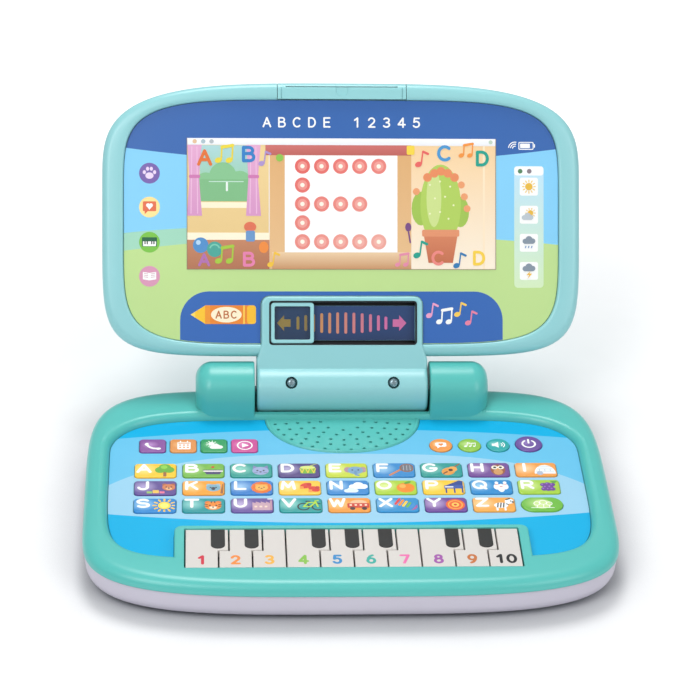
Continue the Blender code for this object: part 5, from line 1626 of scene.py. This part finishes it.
def build_slider():
    left, low, high = WINDOW[0] + WINDOW_PLAY, WINDOW[1] + WINDOW_PLAY, WINDOW[3] - WINDOW_PLAY
    right = left + SLIDER_WIDTH
    centre, size = ((left + right) / 2, (low + high) / 2), (right - left, high - low)
    outline = grown_rectangle(*centre, *size, SLIDER_CORNER)
    slider = rounded_prism("slider_frame", outline, SLIDER_BACK, SLIDER_FRONT, SLIDER_EDGE, 5)
    inner = [side - 2 * SLIDER_RAIL for side in size]
    hole = plate("hole", rounded_rectangle(*centre, *inner, SLIDER_INNER_CORNER), 0, AWAY)
    combine(slider, "DIFFERENCE", hole)
    for y in (low + RUNNER_EDGE, high - RUNNER_EDGE - RUNNER_WIDTH):
        ends = (left + RUNNER_INSET, y, RUNNER_LOW), (right - RUNNER_INSET, y + RUNNER_WIDTH, RUNNER_HIGH)
        combine(slider, "UNION", box("runner", *ends))
    finish(slider, SLIDER_TEAL, "mode_slider", "teal_lid", "mode_slider", where=LID_PLACE)
    lens_size = [side + 2 * LENS_LAP for side in inner]
    outline = grown_rectangle(*centre, *lens_size, SLIDER_INNER_CORNER)
    lens = rounded_prism("slider_lens", outline, LENS_LOW, LENS_HIGH, 0.0002, 3)
    in_the_lid(lens, CLEAR, "mode_slider", "teal_lid")


# ---------------------------------------------------------------- panel artwork
SCREEN = (-91.0, 70.1, 91.0, 147.1)  # left, low, right, high
RING_PITCH = (11.24, 11.12)
RING_FIRST = (-23.2, 130.8)
E_ROWS = ("#####", "#", "####", "#", "#####")


def draw_room(art):
    """The left half of the picture: a window with curtains over a toy shelf."""
    art.rect(-67.0, 117.5, 48.0, 52.0, (238, 210, 150), 0.0, (232, 200, 138))
    art.rect(-68.0, 126.5, 31.0, 33.0, (172, 214, 216), 0.0, (140, 196, 140))
    for x, y, r in ((-80, 121, 6), (-70, 125, 8), (-60, 121, 7)):
        art.disc(x, y, r, (134, 194, 142))
    art.rect(-68.0, 116.5, 31.0, 13.0, (126, 186, 132))
    art.line([(-67.6, 116.5), (-67.6, 121.0)], 1.2, (238, 244, 240))
    art.line([(-78.0, 121.6), (-58.0, 121.6)], 0.5, (200, 228, 214))
    art.rect(-68.0, 107.8, 33.0, 3.4, (252, 240, 208))
    for x in (-86.6, -52.0):
        top, foot = [(x - 4.2, 143.2), (x + 4.2, 143.2)], [(x + 4.4, 101.5), (x - 4.4, 101.5)]
        curtain = [*top, (x + 2.6, 124.0), *foot, (x - 3.0, 124.0)]
        art.shape(curtain, (228, 168, 206), (214, 150, 196))
        for dx in (-1.6, 1.4):
            art.line([(x + dx, 142.0), (x + dx * 1.3, 103.0)], 0.5, (236, 190, 220))
        art.rect(x, 124.6, 6.6, 2.0, (206, 120, 176), 0.8)
    art.rect(-66.8, 89.5, 48.4, 4.2, (252, 242, 214))
    art.rect(-66.8, 78.8, 48.4, 17.2, (196, 132, 96), 0.0, (176, 112, 80))
    art.disc(-83.0, 84.2, 4.6, (78, 142, 200))
    art.disc(-84.4, 85.8, 1.4, (180, 214, 240))
    art.disc(-74.8, 81.8, 4.6, (70, 164, 150))
    art.arc(-74.8, 81.8, 2.8, 0.9, (120, 200, 176), 20, 160, 10)
    art.disc(-54.0, 95.0, 3.6, (222, 112, 82), 3.0)
    art.rect(-53.8, 89.6, 5.4, 6.4, (104, 150, 200), 1.0)
    art.disc(-46.0, 83.0, 2.8, (240, 140, 60), 3.4)


def draw_easel(art):
    """The middle: a white board on an easel, with a big letter made of rings."""
    art.rect(-38.0, 107.0, 9.0, 74.0, (222, 172, 114), 0.0, (232, 190, 140))
    art.rect(36.8, 107.0, 8.4, 74.0, (222, 172, 114), 0.0, (232, 190, 140))
    art.rect(0.0, 75.2, 82.0, 10.2, (238, 206, 166), 0.0, (200, 146, 100))
    art.rect(-2.0, 140.2, 86.0, 6.0, (206, 112, 108), 0.0, (190, 98, 90))
    art.rect(-0.4, 108.6, 66.4, 57.0, (254, 252, 250))
    for row, marks in enumerate(E_ROWS):
        for column in range(len(marks)):
            fade = min(1.0, 0.14 * row + 0.10 * column)
            outer = Vector((228, 104, 98)).lerp(Vector((240, 168, 156)), fade)
            x = RING_FIRST[0] + column * RING_PITCH[0]
            y = RING_FIRST[1] - row * RING_PITCH[1]
            art.level = 8
            art.disc(x, y, 4.5, tuple(outer), sides=28)
            art.disc(x, y, 2.9, tuple(outer.lerp(Vector((248, 196, 186)), 0.45)), sides=20)
            art.disc(x, y, 1.3, (255, 244, 228), sides=14)


def draw_plant(art):
    """The right: a round green plant in a pot, with blossoms, in front of a warm wall."""
    art.rect(65.8, 106.5, 50.4, 72.8, (244, 208, 158), 0.0, (250, 236, 216))
    art.rect(84.0, 106.5, 1.2, 72.8, (250, 228, 196))
    green, light = (176, 206, 92), (204, 222, 140)
    for x, y, r, tall in ((46.8, 106.0, 5.6, 10.0), (70.0, 104.0, 5.2, 9.0)):
        art.disc(x, y, r, (160, 194, 80), tall)
    art.disc(58.4, 108.0, 12.0, green, 24.0, 0, 36)
    art.disc(54.4, 112.0, 4.4, light, 17.0)
    for k in range(5):
        art.disc(50.6 + 4.0 * k, 128.0 - 1.2 * abs(k - 2) ** 1.6, 2.6, (232, 140, 92), sides=14)
    for x, y in ((70.6, 120.0), (72.4, 113.0), (74.0, 106.0), (44.0, 116.0)):
        art.disc(x, y, 2.1, (236, 158, 108), sides=12)
    spines = (52, 120), (58, 122), (64, 119), (55, 112), (61, 113), (66, 108), (52, 103), (58, 104), (63, 100)
    for x, y in spines:
        art.disc(x, y, 0.6, (236, 240, 196), sides=8)
    art.shape([(48.4, 90.5), (68.4, 90.5), (65.6, 74.0), (51.2, 74.0)], (214, 130, 92), (196, 108, 74))
    art.rect(58.4, 91.5, 22.0, 4.0, (226, 146, 106), 0.8)


def draw_screen(art):
    left, low, right, high = SCREEN
    art.at(0, 0, level=1)
    art.rect((left + right) / 2, (low + high) / 2, right - left, high - low, (240, 236, 232))
    draw_room(art)
    art.at(0, 0, level=2)
    draw_plant(art)
    art.at(0, 0, level=2)
    draw_easel(art)
    art.at(0, 0, level=20)
    art.rect(0, 145.2, right - left, 3.9, (250, 250, 252), 0.0, (236, 238, 242))
    for x, colour in ((-86.5, (226, 188, 150)), (-81.5, (166, 190, 200)), (-76.6, (176, 184, 190))):
        art.disc(x, 145.2, 1.3, colour)
    art.disc(88.0, 145.2, 1.2, (190, 210, 190))
    art.at(0, 0, level=24)
    for letter, x, y, size, colour in (
        ("A", -80.7, 135.7, 12.6, (226, 112, 46)), ("B", -54.9, 137.8, 12.6, (44, 126, 196)),
        ("C", 60.6, 138.6, 12.6, (70, 150, 206)), ("D", 83.0, 135.6, 12.2, (22, 160, 140)),
        ("A", -81.0, 75.6, 10.0, (176, 110, 176)), ("B", -54.7, 76.0, 11.4, (230, 128, 172)),
        ("C", 56.8, 76.8, 11.4, (236, 136, 128)), ("D", 81.0, 76.8, 11.4, (246, 206, 70)),
    ):
        art.level = 30
        art.text(letter, x, y, 0.56 * size, 0.62 * size, 0.15 * size, colour)
    for kind, x, y, size, colour in (
        (art.notes, -68.0, 138.0, 10.6, (236, 214, 60)), (art.note, -45.4, 135.4, 8.6, (172, 146, 204)),
        (art.note, 47.3, 135.4, 9.4, (232, 100, 96)), (art.notes, 74.3, 140.4, 8.4, (240, 148, 60)),
        (art.notes, -67.9, 78.8, 10.6, (164, 200, 60)), (art.note, -40.2, 76.0, 8.6, (244, 196, 60)),
        (art.note, 46.5, 82.0, 10.0, (24, 160, 140)), (art.notes, 36.4, 75.8, 8.0, (228, 140, 168)),
        (art.note, 69.7, 75.6, 9.0, (42, 122, 178)),
    ):
        art.level = 34
        kind(x, y, size, colour)
    art.level = 34
    art.disc(-36.6, 135.7, 2.2, (140, 196, 76))
    art.rect(40.6, 140.4, 4.6, 5.4, (246, 214, 70), 0.8)
    art.disc(39.2, 95.0, 1.8, (120, 72, 130), 2.6)
    art.line([(39.4, 92.0), (40.4, 86.0)], 0.9, (120, 72, 130))
    frame_ink = (150, 130, 110)
    art.level = 40
    for x0, y0, x1, y1 in ((left, low, right, low), (left, low, left, high), (right, low, right, high)):
        art.line([(x0, y0), (x1, y1)], 0.35, frame_ink)


def icon_dot(art, y, colour):
    art.at(-113.0, y, level=2)
    art.disc(0, 0, 6.1, colour, sides=36)


def draw_icon_dots(art):
    """The four round icons on the left of the panel."""
    icon_dot(art, 126.4, (118, 94, 170))
    art.disc(0, -1.4, 2.4, (236, 214, 240), 1.9)
    for x, y in ((-3.0, 0.6), (-1.1, 2.6), (1.1, 2.6), (3.0, 0.6)):
        art.disc(x, y, 0.95, (236, 214, 240), 1.2, sides=12)
    icon_dot(art, 106.5, (254, 226, 150))
    art.rect(0, 0.5, 7.8, 5.8, (226, 108, 72), 0.6)
    art.shape([(-2.8, -2.2), (-0.8, -2.2), (-2.8, -4.2)], (226, 108, 72))
    for side in (-1, 1):
        art.disc(side * 0.85, 1.1, 1.15, WHITE_INK, sides=14)
    art.shape([(-1.85, 0.7), (1.85, 0.7), (0, -1.6)], WHITE_INK)
    icon_dot(art, 85.9, (120, 192, 66))
    art.rect(0, 0.2, 8.8, 5.4, (24, 96, 60), 0.4)
    art.rect(0, -0.9, 7.6, 2.8, WHITE_INK)
    for x in (-2.6, -1.3, 1.3, 2.6):
        art.rect(x, -0.3, 0.7, 1.7, (30, 50, 44))
    icon_dot(art, 65.9, (216, 150, 180))
    for side in (-1, 1):
        art.shape([(0, -2.4), (side * 3.9, -1.8), (side * 3.9, 2.6), (0, 2.0)], WHITE_INK)
        for y in (-0.6, 0.4, 1.4):
            art.line([(side * 0.9, y), (side * 3.1, y + 0.3)], 0.3, (200, 140, 166))


def draw_weather_strip(art):
    art.at(110.7, 95.2, level=2)
    art.rect(0, 0, 17.4, 71.8, (190, 226, 246), 2.2, (212, 234, 190))
    art.rect(0, 33.2, 17.4, 5.4, (250, 252, 253), 1.6)
    for x, colour in ((-5.2, (80, 130, 90)), (0.2, (136, 124, 132))):
        art.disc(x, 33.0, 1.4, colour)
    for k in range(4):
        art.rect(0, 23.9 - 16.6 * k, 10.8, 10.6, WHITE_INK, 1.2)
    y = 23.9
    art.sun(0, y, 2.2, (232, 184, 60), (238, 200, 100), 12)
    y -= 16.6
    art.sun(0.9, y + 1.0, 1.7, (232, 184, 60), (238, 200, 100), 10)
    art.cloud(-0.8, y - 1.4, 6.4, (186, 196, 204))
    y -= 16.6
    art.cloud(0, y + 1.2, 7.0, (132, 146, 160))
    for x in (-1.8, 0, 1.8):
        art.line([(x, y - 2.0), (x - 0.3, y - 2.9)], 0.6, (110, 150, 196))
    y -= 16.6
    art.cloud(0, y + 1.6, 7.0, (132, 146, 160))
    flash = ((0.8, -0.2), (-1.4, -2.4), (0.2, -2.4), (-0.8, -4.6), (1.8, -1.6), (0.2, -1.6))
    art.shape([(x, y + v) for x, v in flash], (238, 186, 50))


def draw_status_marks(art):
    """Plain signal and battery marks, and a row of the first letters and numbers."""
    art.at(0, 0, level=2)
    for radius in (1.4, 2.6, 3.8):
        art.arc(102.4, 141.6, radius, 0.55, WHITE_INK, 80, 170, 8)
    art.rect(109.0, 143.2, 9.0, 4.6, WHITE_INK, 0.8)
    art.rect(109.0, 143.2, 8.0, 3.6, (56, 104, 178), 0.5)
    art.rect(108.4, 143.2, 5.8, 2.6, WHITE_INK, 0.3)
    art.rect(114.0, 143.2, 0.7, 2.0, WHITE_INK)
    art.text("ABCDE 12345", 0, 156.6, 4.2, 5.2, 0.95, WHITE_INK, 2.1)


def draw_crayon(art):
    art.at(0, 0, level=4)
    y = 43.4
    art.shape([(-89.0, y), (-80.4, y + 5.4), (-80.4, y - 5.4)], (250, 196, 44))
    art.shape([(-89.0, y), (-86.2, y + 1.8), (-86.2, y - 1.8)], (252, 214, 96))
    art.rect(-66.4, y, 28.0, 11.0, (236, 134, 42), 0.4)
    art.rect(-79.0, y, 3.0, 11.0, (240, 150, 44))
    art.rect(-53.2, y, 5.2, 11.0, (250, 190, 44), 1.6)
    art.rect(-57.6, y, 1.0, 11.0, (250, 204, 80))
    art.disc(-68.0, y, 9.0, (254, 240, 206), 4.6, sides=32)
    art.text("ABC", -68.0, y, 3.0, 4.0, 0.75, (190, 104, 44), 1.5)


def panel_foot(x):
    """How high the lower edge of the panel's print lies at an X, in millimetres."""
    share = (1 - (abs(x) * MM / PANEL.half_width) ** PANEL.low_power) ** (1 / PANEL.low_power)
    return (PANEL.widest - (PANEL.widest - PANEL.low) * share) / MM + 0.25


def draw_pill(art):
    art.at(0, 0, level=2)
    right, high, corner = 95.1, 57.1, 17.0
    left = -right
    points = [(right, panel_foot(right))]
    for k in range(13):
        turn = math.pi / 24 * k
        points.append((right - corner * (1 - math.cos(turn)), high - corner * (1 - math.sin(turn))))
    for k in range(13):
        turn = math.pi / 2 + math.pi / 24 * k
        points.append((left + corner * (1 + math.cos(turn)), high - corner * (1 - math.sin(turn))))
    notch = [(x / MM, y / MM) for x, y in bezel_side(GAP + 0.0001)]
    notch[0] = (notch[0][0], panel_foot(notch[0][0]))
    steps = [notch[0][0] + (right - notch[0][0]) * k / 10 for k in range(11)]
    foot = [(x, panel_foot(x)) for x in steps]
    points += [(-x, y) for x, y in reversed(foot)] + [(-x, y) for x, y in notch[1:]]
    points += notch[:0:-1] + foot[:-1]
    art.shape(points, (46, 101, 178))
    for kind, x, y, size, colour in (
        (art.note, 53.4, 46.0, 8.6, (238, 160, 196)), (art.notes, 61.6, 42.6, 9.4, (250, 250, 246)),
        (art.note, 70.0, 46.6, 8.4, (250, 204, 84)), (art.note, 76.4, 41.6, 8.4, (232, 128, 158)),
    ):
        art.level = 5
        kind(x, y, size, colour)


def build_panel():
    panel = plate("picture_panel", PANEL.points(LID_WAYS, LID_MIDDLE), PANEL_FACE - PANEL_THICK, PANEL_FACE)
    side = [(BEZEL_HALF + GAP, 0.0), *bezel_side(GAP)]
    combine(panel, "DIFFERENCE", plate("notch", side + [(-x, y) for x, y in reversed(side)], -AWAY, AWAY))
    shade(panel, PANEL_PRINT)
    art = Artwork(PANEL_FACE)
    draw_screen(art)
    draw_icon_dots(art)
    draw_weather_strip(art)
    draw_status_marks(art)
    draw_pill(art)
    draw_crayon(art)
    art.attach(panel)
    place(panel, "lid", "printed_panel", "lid_panel", where=LID_PLACE)


# ---------------------------------------------------------------- nodes kept as they are
def dress_kept_nodes():
    for node, material in (
        ("main_circuit_board", BOARD), ("led_board", BOARD), ("speaker", CONE), ("hinge_axle", STEEL),
    ):
        mesh = frame["nodes"][node].data
        mesh.materials.clear()
        mesh.materials.append(material)


# ---------------------------------------------------------------- stage
CAMERA_PLACE = (-0.0862, -1.3526, 0.9258)
CAMERA_LENS = 144.35
CAMERA_PITCH, CAMERA_YAW, CAMERA_ROLL = (math.radians(turn) for turn in (58.144, -3.715, 1.935))
WORLD_LIGHT = 0.44
# The floor glows for the camera alone, more the further out it lies: painted light that washes out its far
# shadows.
FAR_GLOW = 0.60
GLOW_START, GLOW_FULL = 0.21, 0.85
# How far from the object the floor's painted contact shadow reaches.
SHADE_REACH = 0.045


LIGHTS = (  # name, place, what it points at, size, power
    ("key", (-0.60, -0.85, 1.10), (0, 0, 0.08), 0.80, 7.8),
    ("fill", (0.85, -0.95, 0.90), (0, 0, 0.08), 0.90, 4.8),
    ("rear", (-0.05, 0.50, 1.30), (0, 0, 0.02), 0.60, 9.0),
)
FLOOR_DROP = 0.0002
# The floor's colour inside its painted contact shadow and in the open.
FLOOR_SHADED, FLOOR_PALE = (0.24, 0.26, 0.29), (0.93, 0.93, 0.935)


def area_light(name, place_at, target, size, power):
    light = bpy.data.lights.new(name, "AREA")
    light.shape = "DISK"
    light.size = size
    light.energy = power
    obj = bpy.data.objects.new(name, light)
    obj.location = place_at
    obj.rotation_euler = (Vector(target) - Vector(place_at)).to_track_quat("-Z", "Y").to_euler()
    bpy.context.scene.collection.objects.link(obj)


def build_floor():
    bm = bmesh.new()
    bmesh.ops.create_grid(bm, x_segments=8, y_segments=8, size=4.0)
    floor = new_object("floor", bm)
    floor.location.z = -FLOOR_DROP
    nodes = Nodes("pale_floor")
    # Painted contact shadow: the floor darkens where the ambient occlusion node finds the object close above
    # it.
    near = nodes.tree.nodes.new("ShaderNodeAmbientOcclusion")
    near.samples = 8
    near.inputs["Distance"].default_value = SHADE_REACH
    nodes.surface(
        nodes.mix(near.outputs["AO"], FLOOR_SHADED, FLOOR_PALE),
        0.75, grain=0.01, grain_scale=60.0, edge=0.0,
    )
    # Painted light: further from the middle the floor glows for camera rays alone, which whitens its far
    # shadows.
    away = nodes.tree.nodes.new("ShaderNodeVectorMath")
    away.operation = "LENGTH"
    nodes.link(nodes.coords, away.inputs[0])
    path = nodes.tree.nodes.new("ShaderNodeLightPath")
    beyond = nodes.math("SUBTRACT", nodes.math("MINIMUM", away.outputs["Value"], GLOW_FULL), GLOW_START)
    far = nodes.math("MULTIPLY", nodes.math("MAXIMUM", beyond, 0.0), FAR_GLOW / (GLOW_FULL - GLOW_START))
    painted_light = nodes.math("MULTIPLY", far, path.outputs["Is Camera Ray"])
    nodes.shader.inputs["Emission Color"].default_value = (1.0, 1.0, 1.0, 1.0)
    nodes.link(painted_light, nodes.shader.inputs["Emission Strength"])
    floor.data.materials.append(nodes.material)


def build_studio():
    world = bpy.data.worlds.new("studio")
    world.use_nodes = True
    background = world.node_tree.nodes["Background"]
    background.inputs["Color"].default_value = (0.97, 0.985, 1.0, 1.0)
    seen = world.node_tree.nodes.new("ShaderNodeLightPath")
    strength = world.node_tree.nodes.new("ShaderNodeMapRange")
    strength.inputs["To Min"].default_value = WORLD_LIGHT
    strength.inputs["To Max"].default_value = 1.0
    world.node_tree.links.new(seen.outputs["Is Camera Ray"], strength.inputs["Value"])
    world.node_tree.links.new(strength.outputs["Result"], background.inputs["Strength"])
    bpy.context.scene.world = world
    for light in LIGHTS:
        area_light(*light)


def build_camera():
    camera = bpy.data.cameras.new("camera")
    camera.lens = CAMERA_LENS
    eye = bpy.data.objects.new("camera", camera)
    eye.matrix_world = (
        Matrix.Translation(CAMERA_PLACE)
        @ Matrix.Rotation(CAMERA_YAW, 4, "Z")
        @ Matrix.Rotation(CAMERA_PITCH, 4, "X")
        @ Matrix.Rotation(CAMERA_ROLL, 4, "Z")
    )
    bpy.context.scene.collection.objects.link(eye)
    bpy.context.scene.camera = eye
    bpy.context.scene.view_settings.view_transform = "Standard"


build_base_shell()
build_belly()
build_battery_door()
build_film()
for button in BUTTONS:
    build_button(button)
build_key_bed()
for key_number in range(1, KEY_COUNT + 1):
    build_key(key_number)
build_lid_front()
build_lid_back()
build_panel()
build_handle()
build_hinge_screws()
build_track()
build_slider()
dress_kept_nodes()
build_floor()
build_studio()
build_camera()
